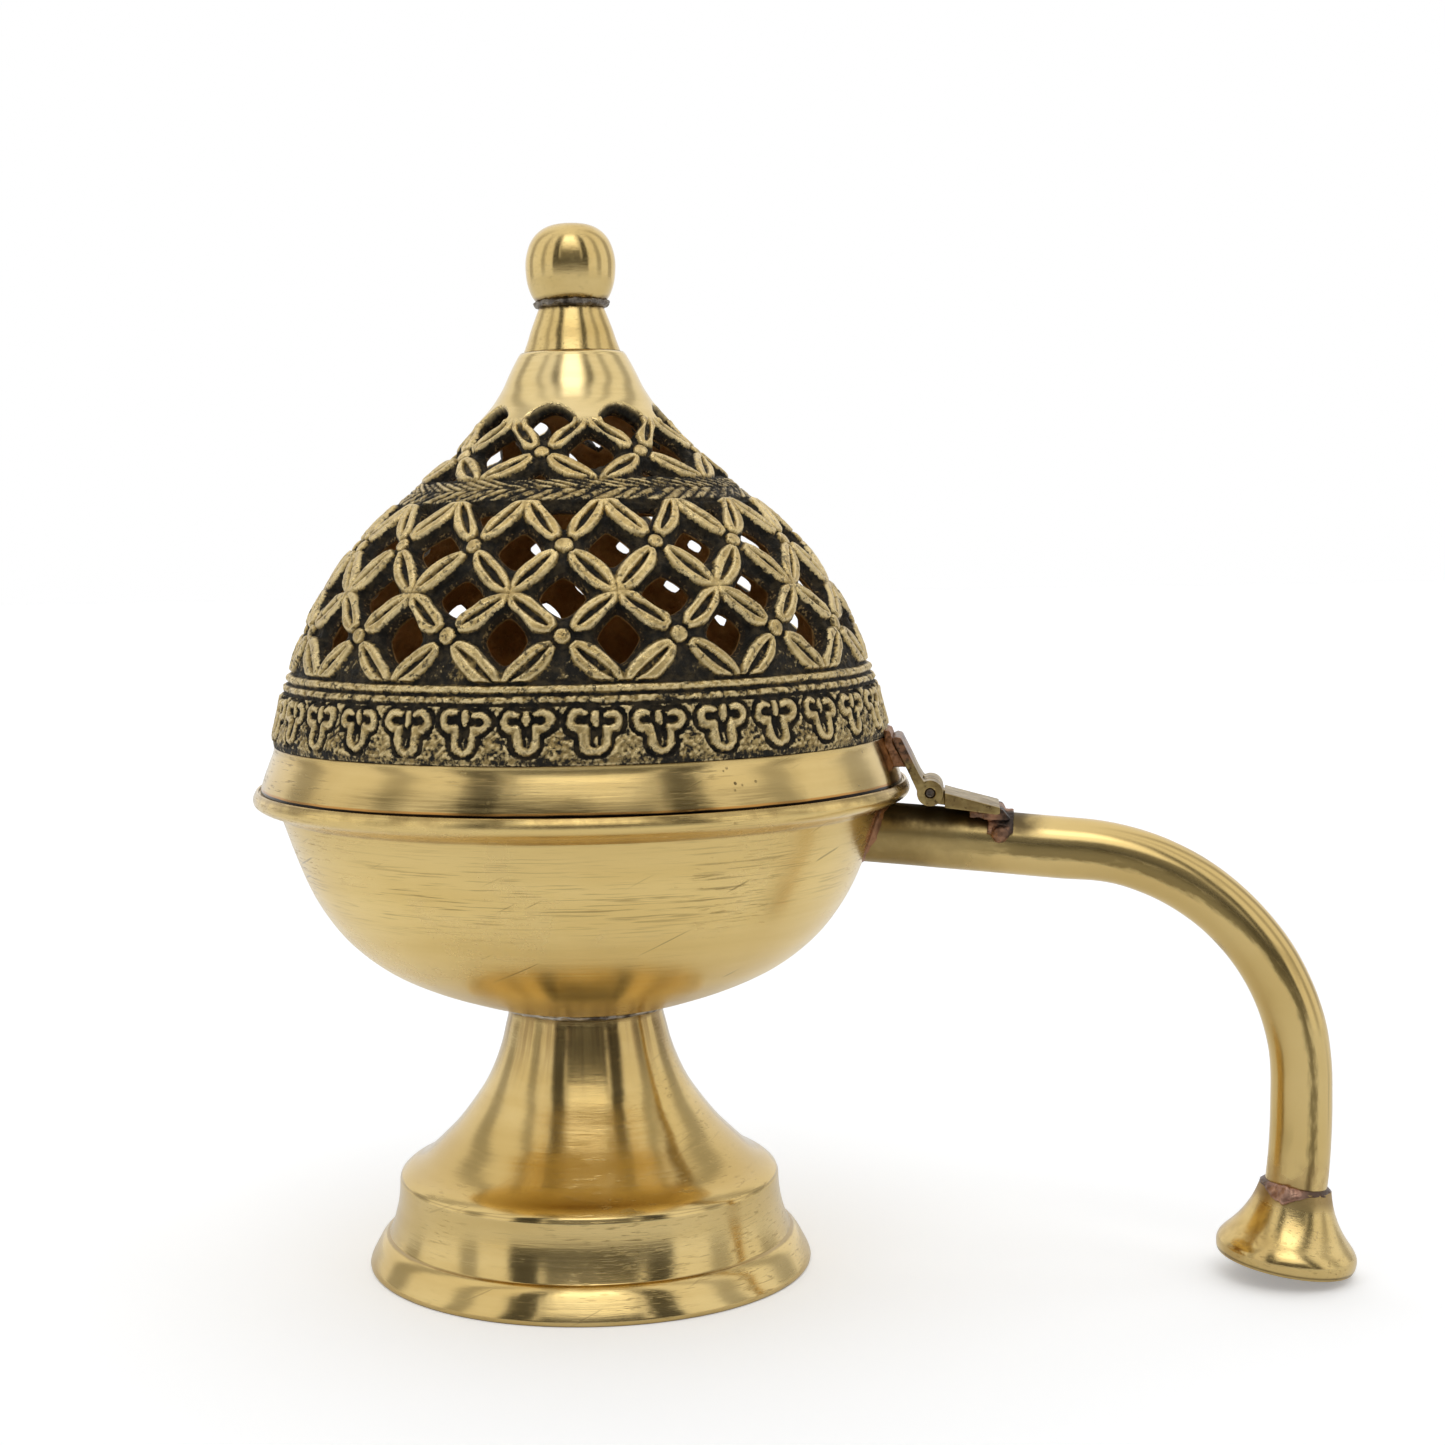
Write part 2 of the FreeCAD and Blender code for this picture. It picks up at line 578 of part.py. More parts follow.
def make_charcoal_pan():
    rim_edge = [(PAN_EDGE_R, PAN_RIM_Z), (PAN_RIM_R, PAN_RIM_Z + PAN_WALL / 2),
                (PAN_EDGE_R, PAN_RIM_TOP_Z)]
    return turn(
        *lines((0, PAN_Z), PAN_OUT[0]),
        spline(PAN_OUT),
        *lines(PAN_OUT[-1], rim_edge[0]),
        spline(rim_edge),
        *lines(rim_edge[-1], (39.60, PAN_RIM_TOP_Z), PAN_IN[-1]),
        spline(PAN_IN),
        *lines(PAN_IN[0], (0, PAN_IN[0][1]), (0, PAN_Z)))


# ----------------------------------------------------------- build and export
def build_parts():
    parts = {}
    parts["foot"] = foot = make_foot()
    parts["bowl"] = make_bowl()
    bowl_filled = make_bowl_filled()
    parts["bowl_foot_solder"] = make_bowl_foot_solder(bowl_filled, foot)

    tube_filled = tube_rod(TUBE_R)
    parts["handle_tube"] = make_handle_tube(tube_filled, bowl_filled)
    parts["handle_braze"] = make_handle_braze(bowl_filled, tube_filled)
    parts["handle_bell"] = make_handle_bell(tube_filled)
    parts["bell_braze"] = make_bell_braze(tube_filled)

    parts["lid_band"] = make_lid_band()
    parts["pierced_dome"] = make_pierced_dome()
    parts["finial_neck"] = neck = make_finial_neck()
    parts["finial_ball"] = ball = make_finial_ball()
    parts["finial_solder"] = make_finial_solder(ball, neck)

    parts["hinge_pin"] = make_hinge_pin()
    parts["lid_hinge_leaf"] = lid_leaf = make_lid_hinge_leaf(bowl_filled)
    parts["handle_hinge_leaf"] = handle_leaf = make_handle_hinge_leaf(tube_filled)
    parts["lid_leaf_braze"] = make_lid_leaf_braze(lid_leaf)
    parts["hinge_leaf_braze"] = make_hinge_leaf_braze(tube_filled, handle_leaf)

    parts["charcoal_pan"] = make_charcoal_pan()
    return parts


os.makedirs("parts", exist_ok=True)
for name, shape in build_parts().items():
    shape.exportStep("parts/%s.step" % name)
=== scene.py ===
import math

import bpy
import numpy as np
from mathutils import Matrix, Vector


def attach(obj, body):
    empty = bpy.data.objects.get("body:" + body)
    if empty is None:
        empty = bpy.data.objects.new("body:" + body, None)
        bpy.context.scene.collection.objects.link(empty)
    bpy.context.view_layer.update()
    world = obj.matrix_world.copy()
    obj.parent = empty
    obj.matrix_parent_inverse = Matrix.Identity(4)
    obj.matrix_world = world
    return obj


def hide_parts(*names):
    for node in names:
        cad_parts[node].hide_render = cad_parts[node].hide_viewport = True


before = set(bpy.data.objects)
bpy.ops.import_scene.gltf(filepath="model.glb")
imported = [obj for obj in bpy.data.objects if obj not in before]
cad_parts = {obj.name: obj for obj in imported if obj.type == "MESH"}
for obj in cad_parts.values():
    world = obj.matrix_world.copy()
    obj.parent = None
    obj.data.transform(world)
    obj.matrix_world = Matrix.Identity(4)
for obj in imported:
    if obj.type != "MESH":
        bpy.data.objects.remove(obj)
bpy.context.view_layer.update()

K = 0.001                       # profiles below are in millimetres


# ------------------------------------------------------------------ small tools
def spline(pts, step=0.4):
    """Smooth curve through (a, b) points, resampled at about `step`."""
    p = np.array(pts, float)
    d = np.r_[0, np.cumsum(np.hypot(*np.diff(p, axis=0).T))]
    n = len(p)
    if n == 2:
        m = max(2, int(d[-1] / step) + 1)
        t = np.linspace(0, 1, m)[:, None]
        return p[0] * (1 - t) + p[1] * t
    h = np.diff(d)
    a = np.zeros((n, n)); b = np.zeros((n, 2))
    a[0, 0] = a[-1, -1] = 1
    for i in range(1, n - 1):
        a[i, i - 1], a[i, i], a[i, i + 1] = h[i - 1], 2 * (h[i - 1] + h[i]), h[i]
        b[i] = 6 * ((p[i + 1] - p[i]) / h[i] - (p[i] - p[i - 1]) / h[i - 1])
    m2 = np.linalg.solve(a, b)
    q = np.linspace(0, d[-1], max(3, int(d[-1] / step) + 1))
    k = np.clip(np.searchsorted(d, q, side="right") - 1, 0, n - 2)
    hk = h[k][:, None]; l = (d[k + 1] - q)[:, None]; r = (q - d[k])[:, None]
    return (m2[k] * l ** 3 + m2[k + 1] * r ** 3) / (6 * hk) + (p[k] / hk - m2[k] * hk / 6) * l + (p[k + 1] / hk - m2[k + 1] * hk / 6) * r


def join(segments, soft=0.22):
    """Chain of curves with each hard corner between them eased by about `soft`."""
    out = [np.array(segments[0])]
    for s in segments[1:]:
        s = np.array(s)
        prev = out[-1]
        a = prev[-1] - prev[-2]; b = s[1] - s[0]
        ca = np.dot(a, b) / (np.linalg.norm(a) * np.linalg.norm(b) + 1e-12)
        if ca < 0.965 and soft > 0:
            corner = prev[-1].copy()

            def cut(c, dist):
                acc = np.r_[0, np.cumsum(np.hypot(*np.diff(c, axis=0).T))]
                dist = min(dist, acc[-1] * 0.45)
                i = int(np.searchsorted(acc, dist))
                f = (dist - acc[i - 1]) / (acc[i] - acc[i - 1])
                p = c[i - 1] + (c[i] - c[i - 1]) * f
                return p, c[i:]
            pa, rest = cut(prev[::-1], soft)
            out[-1] = np.vstack([rest[::-1], pa])
            pb, tail = cut(s, soft)
            t = np.linspace(0, 1, 6)[1:-1, None]
            bez = (1 - t) ** 2 * pa + 2 * t * (1 - t) * corner + t ** 2 * pb
            out.append(bez)
            out.append(np.vstack([pb, tail]))
        else:
            out.append(s[1:])
    c = np.vstack(out)
    keep = np.r_[True, np.hypot(*np.diff(c, axis=0).T) > 1e-4]
    return c[keep]


def _hash(ix, iy, iz, seed):
    h = (ix * 374761393 + iy * 668265263 + iz * 2147483647 + seed * 1274126177) & 0xFFFFFFFF
    h = ((h ^ (h >> 13)) * 1274126177) & 0xFFFFFFFF
    h = (h ^ (h >> 16)) & 0xFFFFFFFF
    return h.astype(np.float64) / 2147483647.5 - 1.0


def noise3(p, seed=0):
    """Smooth value noise in -1..1 at points p (n, 3)."""
    p = np.asarray(p, float)
    i = np.floor(p).astype(np.int64); f = p - i
    u = f * f * f * (f * (f * 6 - 15) + 10)
    out = 0
    for dx in (0, 1):
        wx = u[:, 0] if dx else 1 - u[:, 0]
        for dy in (0, 1):
            wy = u[:, 1] if dy else 1 - u[:, 1]
            for dz in (0, 1):
                wz = u[:, 2] if dz else 1 - u[:, 2]
                out = out + wx * wy * wz * _hash(i[:, 0] + dx, i[:, 1] + dy, i[:, 2] + dz, seed)
    return out


def fbm(p, octaves=3, seed=0):
    s, a, t = 0, 1.0, 0
    for k in range(octaves):
        s = s + a * noise3(np.asarray(p) * 2 ** k + 17.3 * k, seed + k); t += a; a *= 0.5
    return s / t


def sstep(a, b, x):
    t = np.clip((x - a) / (b - a), 0, 1)
    return t * t * (3 - 2 * t)


def mesh_np(name, verts, quads=None, tris=None, attrs=None, smooth=True):
    """Object from arrays. verts in millimetres."""
    me = bpy.data.meshes.new(name)
    v = np.asarray(verts, np.float32) * K
    me.vertices.add(len(v)); me.vertices.foreach_set("co", v.ravel())
    loops = []; starts = []; n = 0
    for f in (quads, tris):
        if f is not None and len(f):
            f = np.asarray(f, np.int32)
            loops.append(f.ravel()); starts.append(n + np.arange(len(f), dtype=np.int32) * f.shape[1])
            n += f.size
    loops = np.concatenate(loops); starts = np.concatenate(starts).astype(np.int32)
    me.loops.add(len(loops)); me.loops.foreach_set("vertex_index", loops)
    me.polygons.add(len(starts)); me.polygons.foreach_set("loop_start", starts)
    me.update(calc_edges=True)
    me.validate(verbose=False)
    if smooth:
        me.shade_smooth()
    for an, data in (attrs or {}).items():
        data = np.asarray(data, np.float32)
        kind = "FLOAT_VECTOR" if data.ndim == 2 else "FLOAT"
        at = me.attributes.new(an, kind, "POINT")
        at.data.foreach_set("vector" if data.ndim == 2 else "value", data.ravel())
    ob = bpy.data.objects.new(name, me)
    bpy.context.scene.collection.objects.link(ob)
    return ob


def grid_faces(nr, nc, close=True):
    i = np.arange(nr - 1)[:, None] * nc
    j = np.arange(nc if close else nc - 1)[None, :]
    j2 = (j + 1) % nc
    a = i + j; b = i + j2; c = i + nc + j2; d = i + nc + j
    return np.stack([a, b, c, d], -1).reshape(-1, 4)


def lathe(name, prof, segs=320, wob=0.03, wob_f=0.05, seed=1, closed=False, place=None, oval=0.0, rings=False):
    """Turned body from an (r, z) profile running with the outside on its right hand."""
    prof = np.asarray(prof, float)
    nr = len(prof)
    th = np.arange(segs) * 2 * math.pi / segs
    r = np.repeat(prof[:, 0][:, None], segs, 1); z = np.repeat(prof[:, 1][:, None], segs, 1)
    t = np.repeat(th[None, :], nr, 0)
    p = np.stack([r * np.cos(t), r * np.sin(t), z], -1).reshape(-1, 3)
    if wob:
        w = fbm(p * wob_f + 31.7, 2, seed).reshape(nr, segs) * wob * np.clip(r / 6, 0, 1)
        r = r + w
    if oval:
        r = r * (1 + oval * np.cos(2 * t + 0.7))
    p = np.stack([r * np.cos(t), r * np.sin(t), z], -1).reshape(-1, 3)
    along = z
    if rings:                                      # flat work: the lathe lines lie round the middle
        steps = np.r_[0.0, np.cumsum(np.hypot(*np.diff(prof, axis=0).T))]
        along = np.repeat(steps[:, None], segs, 1)
    grain = np.stack([np.cos(t), np.sin(t), along * K], -1).reshape(-1, 3)
    q = grid_faces(nr, segs)
    if closed:
        a = (nr - 1) * segs + np.arange(segs); b = (nr - 1) * segs + (np.arange(segs) + 1) % segs
        c = (np.arange(segs) + 1) % segs; d = np.arange(segs)
        q = np.vstack([q, np.stack([a, b, c, d], -1)])
    tris = None
    # merge rings that sit on the axis
    on_axis = prof[:, 0] < 1e-6
    if on_axis.any():
        remap = np.arange(nr * segs)
        for i in np.where(on_axis)[0]:
            remap[i * segs:(i + 1) * segs] = i * segs
        q = remap[q]
        bad = (q[:, 0] == q[:, 1]) | (q[:, 2] == q[:, 3])
        tri = []
        for row in q[bad]:
            u = []
            for x in row:
                if x not in u:
                    u.append(x)
            if len(u) == 3:
                tri.append(u)
        q = q[~bad]
        used = np.zeros(nr * segs, bool); used[q.ravel()] = True
        tris = np.array(tri, int) if tri else None
        if tris is not None:
            used[tris.ravel()] = True
        new = np.cumsum(used) - 1
        q = new[q]; tris = new[tris] if tris is not None else None
        p = p[used]; grain = grain[used]
    if place is not None:
        p = place(p)
    return mesh_np(name, p, q, tris, {"grain": grain})


def offset(pts, t):
    p = np.array(pts, float)
    a = p[np.maximum(np.arange(len(p)) - 1, 0)]; b = p[np.minimum(np.arange(len(p)) + 1, len(p) - 1)]
    d = b - a; m = np.hypot(d[:, 0], d[:, 1])[:, None]
    return np.c_[p[:, 0] - t * (d[:, 1:2] / m).ravel(), p[:, 1] + t * (d[:, 0:1] / m).ravel()]


# --------------------------------------------------------------------- profiles
FOOT_FLANGE = [(38.05, 0.0), (38.30, 0.35), (38.20, 1.10), (37.60, 2.35), (36.90, 3.65), (36.05, 4.95), (35.35, 5.60)]
FOOT_DRUM = [(34.80, 5.75), (34.25, 7.20), (33.60, 9.40), (33.15, 11.70), (32.95, 13.80), (32.90, 15.20)]
FOOT_TRUMPET = [(32.60, 15.95), (31.70, 16.75), (30.20, 17.55), (28.30, 18.80), (26.95, 20.00), (25.30, 21.60),
                (23.40, 23.50), (21.70, 25.50), (19.75, 28.10), (17.85, 30.90), (16.40, 33.70), (15.25, 36.55),
                (14.40, 39.30), (13.85, 41.65), (13.45, 43.30), (13.30, 44.50)]
FOOT_IN = [(35.50, 0.0), (35.45, 1.20), (34.70, 3.10), (33.70, 4.90), (32.95, 6.20), (32.10, 8.60), (31.50, 11.00),
           (31.20, 13.40), (30.40, 15.00), (28.60, 16.30), (26.40, 17.95), (23.20, 21.10), (19.60, 25.00),
           (16.60, 29.10), (14.30, 33.60), (12.90, 38.00), (12.00, 41.60), (11.70, 44.50)]
BOWL_OUT = [(13.20, 44.95), (17.20, 45.75), (21.80, 47.15), (26.20, 48.70), (30.20, 50.40), (33.60, 52.15),
            (36.40, 54.00), (39.10, 56.20), (41.70, 58.85), (43.90, 61.75), (45.90, 65.00), (47.60, 68.60),
            (49.45, 73.50), (50.95, 77.90), (51.35, 79.10)]
BEAD_OUT = [(51.35, 79.10), (52.30, 79.75), (53.80, 80.25), (55.25, 80.85), (55.92, 81.50), (56.06, 82.15),
            (55.93, 82.80), (55.62, 83.40)]
LIP_TOP = [(55.62, 83.40), (55.45, 83.62), (55.20, 83.66), (55.05, 83.50)]
BAND_OUT = [(54.75, 83.30), (54.70, 83.60), (54.35, 84.90), (53.90, 86.20), (53.35, 87.60), (52.80, 89.00),
            (52.32, 90.30), (52.28, 91.15)]
DOME_OUT = [(52.20, 91.20), (52.25, 92.30), (51.65, 95.10), (50.95, 98.00), (50.35, 100.65), (49.30, 103.40),
            (48.60, 106.10), (47.45, 109.00), (46.35, 111.70), (45.00, 114.50), (43.25, 117.20), (41.55, 120.05),
            (39.60, 122.80), (37.15, 125.50), (34.50, 128.30), (31.35, 131.10), (28.10, 133.90), (24.80, 136.70),
            (21.60, 139.50), (18.60, 142.20), (15.95, 144.95), (13.40, 147.80), (12.50, 149.15), (11.75, 150.40),
            (10.40, 153.20), (9.00, 155.80)]
NECK_OUT = [(8.30, 156.40), (7.45, 158.65), (7.00, 160.05), (6.00, 162.70), (5.45, 164.15)]
BALL_OUT = [(5.55, 164.75), (6.00, 165.15), (6.95, 166.80), (7.35, 168.15), (7.54, 169.55), (7.53, 172.20),
            (7.27, 173.45), (6.76, 174.85), (5.85, 176.20), (3.75, 177.60), (0.0, 178.05)]
TABLE_CLEAR = 0.0

pieces = {}


def put(ob, body, node, mat):
    ob.data.materials.clear()
    ob.data.materials.append(mat)
    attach(ob, body)
    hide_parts(node)
    pieces[node] = ob
    return ob


# -------------------------------------------------------------------- materials
class Nodes:
    """Short way to write a node tree."""

    def __init__(self, name):
        self.m = bpy.data.materials.new(name)
        self.m.use_nodes = True
        self.t = self.m.node_tree
        self.t.nodes.clear()
        self.out = self.t.nodes.new("ShaderNodeOutputMaterial")
        self.b = self.t.nodes.new("ShaderNodeBsdfPrincipled")
        self.t.links.new(self.b.outputs[0], self.out.inputs[0])

    def set(self, node, i, v):
        if isinstance(v, bpy.types.NodeSocket):
            self.t.links.new(v, node.inputs[i])
        elif v is not None:
            node.inputs[i].default_value = v

    def math(self, op, a, b=None, c=None, clamp=False):
        n = self.t.nodes.new("ShaderNodeMath"); n.operation = op; n.use_clamp = clamp
        self.set(n, 0, a); self.set(n, 1, b); self.set(n, 2, c)
        return n.outputs[0]

    def vmath(self, op, a, b=None):
        n = self.t.nodes.new("ShaderNodeVectorMath"); n.operation = op
        self.set(n, 0, a); self.set(n, 1, b)
        return n.outputs[0]

    def attr(self, name, vector=False):
        n = self.t.nodes.new("ShaderNodeAttribute"); n.attribute_name = name
        return n.outputs["Vector"] if vector else n.outputs["Fac"]

    def coord(self, which="Object"):
        n = self.t.nodes.new("ShaderNodeTexCoord")
        return n.outputs[which]

    def noise(self, vec, scale, detail=3.0, rough=0.55, w=None, dist=0.0, lac=2.0):
        n = self.t.nodes.new("ShaderNodeTexNoise")
        self.set(n, "Vector", vec); n.inputs["Scale"].default_value = scale
        n.inputs["Detail"].default_value = detail; n.inputs["Roughness"].default_value = rough
        n.inputs["Distortion"].default_value = dist; n.inputs["Lacunarity"].default_value = lac
        return n.outputs["Fac"]

    def voronoi(self, vec, scale, feature="F1", rand=1.0):
        n = self.t.nodes.new("ShaderNodeTexVoronoi"); n.feature = feature
        self.set(n, "Vector", vec); n.inputs["Scale"].default_value = scale
        n.inputs["Randomness"].default_value = rand
        return n.outputs["Distance"]

    def ramp(self, fac, stops, interp="LINEAR"):
        n = self.t.nodes.new("ShaderNodeValToRGB"); n.color_ramp.interpolation = interp
        e = n.color_ramp.elements
        while len(e) > 1:
            e.remove(e[-1])
        first = True
        for pos, col in stops:
            c = (col, col, col, 1) if isinstance(col, (int, float)) else tuple(col) + (1,) if len(col) == 3 else col
            if first:
                e[0].position = pos; e[0].color = c; first = False
            else:
                x = e.new(pos); x.color = c
        self.set(n, 0, fac)
        return n.outputs["Color"]

    def range(self, v, a, b, c=0.0, d=1.0, smooth=True):
        n = self.t.nodes.new("ShaderNodeMapRange")
        n.interpolation_type = "SMOOTHSTEP" if smooth else "LINEAR"
        self.set(n, 0, v)
        for i, x in zip((1, 2, 3, 4), (a, b, c, d)):
            n.inputs[i].default_value = x
        return n.outputs[0]

    def mix(self, f, a, b, mode="MIX"):
        n = self.t.nodes.new("ShaderNodeMix"); n.data_type = "RGBA"; n.blend_type = mode
        self.set(n, 0, f)
        for i, x in ((6, a), (7, b)):
            if isinstance(x, bpy.types.NodeSocket):
                self.t.links.new(x, n.inputs[i])
            else:
                n.inputs[i].default_value = tuple(x) + (1,) if len(x) == 3 else x
        return n.outputs[2]

    def scale(self, vec, s):
        n = self.t.nodes.new("ShaderNodeVectorMath"); n.operation = "MULTIPLY"
        self.set(n, 0, vec); n.inputs[1].default_value = s
        return n.outputs[0]

    def sep(self, vec):
        n = self.t.nodes.new("ShaderNodeSeparateXYZ"); self.set(n, 0, vec)
        return n.outputs

    def bump(self, h, strength, dist, normal=None):
        n = self.t.nodes.new("ShaderNodeBump")
        n.inputs["Strength"].default_value = strength; n.inputs["Distance"].default_value = dist
        self.set(n, "Height", h)
        if normal is not None:
            self.set(n, "Normal", normal)
        return n.outputs[0]

    def final(self, color, rough, normal=None, metallic=1.0, **kw):
        self.set(self.b, "Base Color", color); self.set(self.b, "Roughness", rough)
        self.set(self.b, "Metallic", metallic)
        if normal is not None:
            self.set(self.b, "Normal", normal)
        for k, v in kw.items():
            self.set(self.b, k.replace("_", " "), v)
        return self.m


BRASS_HI = (0.780, 0.590, 0.262)
BRASS_LO = (0.625, 0.440, 0.158)
STAIN = (0.115, 0.062, 0.022)


def z_of(n, obj):
    return n.sep(obj)[2]


def brass(name, hi=BRASS_HI, lo=BRASS_LO, rough=0.17, lines=1.0, seams=(), scuffs=0.5, scuff_z=None, pits=0.0,
          pit_z=None, along=False, tint=None, aniso=0.8, smudge=0.0, scratch=0.0, hairs=0.45):
    """Polished brass with lathe lines round the work, scuffs, small stains and dark lines at the seams.
    seams: (z in mm, half width in mm, strength)."""
    n = Nodes(name)
    g = n.attr("grain", True)
    obj = n.coord("Object")
    a, b = (26.0, 9.0) if along else (1.6, 1500.0)
    fine = n.noise(n.scale(g, (a, a, b)), 1.0, 4.0, 0.62)
    coarse = n.noise(n.scale(g, (a * 0.6, a * 0.6, b * 0.16)), 1.0, 3.0, 0.5)
    cloud = n.noise(obj, 46.0, 4.0, 0.55, dist=0.4)
    blotch = n.noise(obj, 13.0, 2.0, 0.5)
    mixf = n.range(n.math("ADD", n.math("MULTIPLY", cloud, 0.55), n.math("MULTIPLY", blotch, 0.45)), 0.34, 0.66)
    col = n.mix(mixf, lo, hi)
    col = n.mix(0.55, n.mix(n.range(coarse, 0.3, 0.7), lo, hi), col)
    # scuffs: short dull strokes round the work
    sc_vec = n.scale(g, (9.0, 9.0, 2300.0) if not along else (160.0, 160.0, 45.0))
    sc = n.range(n.noise(sc_vec, 1.0, 2.0, 0.7), 0.57, 0.68)
    patch = n.range(n.noise(obj, 34.0, 2.0, 0.5), 0.42, 0.62)
    scm = n.math("MULTIPLY", n.math("MULTIPLY", sc, patch), scuffs)
    z = n.sep(obj)[2]
    if scuff_z:
        scm = n.math("MULTIPLY", scm, n.range(z, scuff_z[0] * K, scuff_z[1] * K))
    col = n.mix(n.math("MULTIPLY", scm, 0.70), col, (0.25, 0.170, 0.055))
    # fine dark hairlines
    hair = n.range(n.noise(n.scale(g, (5.0, 5.0, 5200.0)) if not along else n.scale(g, (900.0, 900.0, 30.0)), 1.0, 2.0, 0.6), 0.66, 0.74)
    hair = n.math("MULTIPLY", hair, n.range(n.noise(obj, 22.0, 2.0, 0.5), 0.38, 0.60))
    if scuff_z:
        top = n.noise(n.scale(g, (4.0, 4.0, 3300.0)), 1.0, 2.0, 0.65)
        top = n.math("MULTIPLY", n.range(top, 0.54, 0.66), n.range(z_of(n, obj), scuff_z[0] * K, scuff_z[1] * K))
        hair = n.math("MAXIMUM", hair, n.math("MULTIPLY", top, n.range(n.noise(obj, 30.0, 2.0, 0.5), 0.36, 0.60)))
    col = n.mix(n.math("MULTIPLY", hair, hairs), col, (0.20, 0.135, 0.045))
    sm = None
    if smudge:
        sm = n.math("MULTIPLY", n.range(n.noise(obj, 62.0, 3.0, 0.5, dist=0.6), 0.56, 0.64), n.range(n.noise(obj, 420.0, 3.0, 0.6), 0.30, 0.62))
        sm = n.math("MULTIPLY", sm, smudge)
        col = n.mix(n.math("MULTIPLY", sm, 0.35), col, (0.82, 0.64, 0.33))
    if scratch:
        s3 = n.sep(obj)
        u = n.math("ADD", n.math("MULTIPLY", s3[0], 0.90), n.math("MULTIPLY", s3[2], 0.44))
        v = n.math("SUBTRACT", n.math("MULTIPLY", s3[2], 0.90), n.math("MULTIPLY", s3[0], 0.44))
        cmb = n.t.nodes.new("ShaderNodeCombineXYZ")
        n.set(cmb, 0, n.math("MULTIPLY", u, 60.0)); n.set(cmb, 1, n.math("MULTIPLY", s3[1], 60.0)); n.set(cmb, 2, n.math("MULTIPLY", v, 1700.0))
        sc2 = n.range(n.noise(cmb.outputs[0], 1.0, 1.0, 0.5), 0.735, 0.775)
        sc2 = n.math("MULTIPLY", sc2, scratch)
        col = n.mix(n.math("MULTIPLY", sc2, 0.65), col, (0.17, 0.115, 0.04))
        hair = n.math("MAXIMUM", hair, sc2)
    # seam stains
    for z0, w, s in seams:
        d = n.math("ABSOLUTE", n.math("SUBTRACT", z, z0 * K))
        jig = n.math("MULTIPLY", n.math("SUBTRACT", n.noise(obj, 160.0, 3.0, 0.6), 0.5), w * K * 1.6)
        m = n.range(n.math("ADD", d, jig), w * K, 0.0, 0.0, s)
        col = n.mix(m, col, STAIN)
    ro = n.math("ADD", n.math("MULTIPLY", n.math("SUBTRACT", cloud, 0.5), 0.16), rough)
    ro = n.math("ADD", ro, n.math("MULTIPLY", n.math("SUBTRACT", fine, 0.5), 0.10))
    ro = n.math("ADD", ro, n.math("MULTIPLY", scm, 0.22), None, True)
    if sm is not None:
        ro = n.math("ADD", ro, n.math("MULTIPLY", sm, 0.16), None, True)
    if pits:
        v = n.voronoi(obj, 620.0)
        gate = n.range(n.noise(obj, 95.0, 2.0, 0.5), 0.60, 0.66)
        pm = n.math("MULTIPLY", n.range(v, 0.20, 0.12), gate)
        if pit_z:
            pm = n.math("MULTIPLY", pm, n.math("MULTIPLY", n.range(z, pit_z[0] * K, pit_z[0] * K + 0.001), n.range(z, pit_z[1] * K, pit_z[1] * K - 0.001)))
        pm = n.math("MULTIPLY", pm, pits)
        col = n.mix(pm, col, (0.03, 0.018, 0.008))
        ro = n.math("ADD", ro, n.math("MULTIPLY", pm, 0.4), None, True)
    if tint:
        col = tint(n, col, obj, g, z)
        if isinstance(col, tuple):
            col, ro = col[0], n.math("ADD", ro, col[1], None, True)
    h = n.math("ADD", n.math("MULTIPLY", fine, 0.8), n.math("MULTIPLY", coarse, 1.2))
    h = n.math("SUBTRACT", h, n.math("MULTIPLY", scm, 0.8))
    h = n.math("SUBTRACT", h, n.math("MULTIPLY", hair, 0.6))
    nb = n.bump(h, 0.16 * lines, 0.00022)
    nb2 = n.bump(cloud, 0.10, 0.0012, nb)
    if aniso:
        tan = n.t.nodes.new("ShaderNodeTangent"); tan.direction_type = "RADIAL"; tan.axis = "Z"
        n.t.links.new(tan.outputs[0], n.b.inputs["Tangent"])
        n.b.inputs["Anisotropic"].default_value = aniso
        n.b.inputs["Anisotropic Rotation"].default_value = 0.25
    return n.final(col, ro, nb2)


def lumpy_metal(name, hi, lo, dark, rough=0.42, scale=1.0, dark_at=(0.50, 0.68), near=None):
    n = Nodes(name)
    obj = n.coord("Object")
    a = n.noise(obj, 420.0 * scale, 4.0, 0.6, dist=0.6)
    b = n.noise(obj, 150.0 * scale, 3.0, 0.55)
    c = n.noise(obj, 1500.0 * scale, 2.0, 0.6)
    col = n.mix(n.range(a, 0.36, 0.64), lo, hi)
    col = n.mix(n.range(b, dark_at[0], dark_at[1]), col, dark)
    if near:                     # bright only near one point (metres), stained elsewhere
        d = n.t.nodes.new("ShaderNodeVectorMath"); d.operation = "DISTANCE"
        n.set(d, 0, obj); d.inputs[1].default_value = near
        far = n.range(n.math("ADD", d.outputs["Value"], n.math("MULTIPLY", n.math("SUBTRACT", a, 0.5), 0.003)), 0.0022, 0.0048)
        col = n.mix(n.math("MULTIPLY", far, 0.86), col, dark)
    ro = n.math("ADD", n.math("MULTIPLY", n.math("SUBTRACT", a, 0.5), 0.5), rough, None, True)
    h = n.math("ADD", n.math("MULTIPLY", a, 1.0), n.math("MULTIPLY", c, 0.35))
    return n.final(col, ro, n.bump(h, 0.55, 0.0005), metallic=0.85)


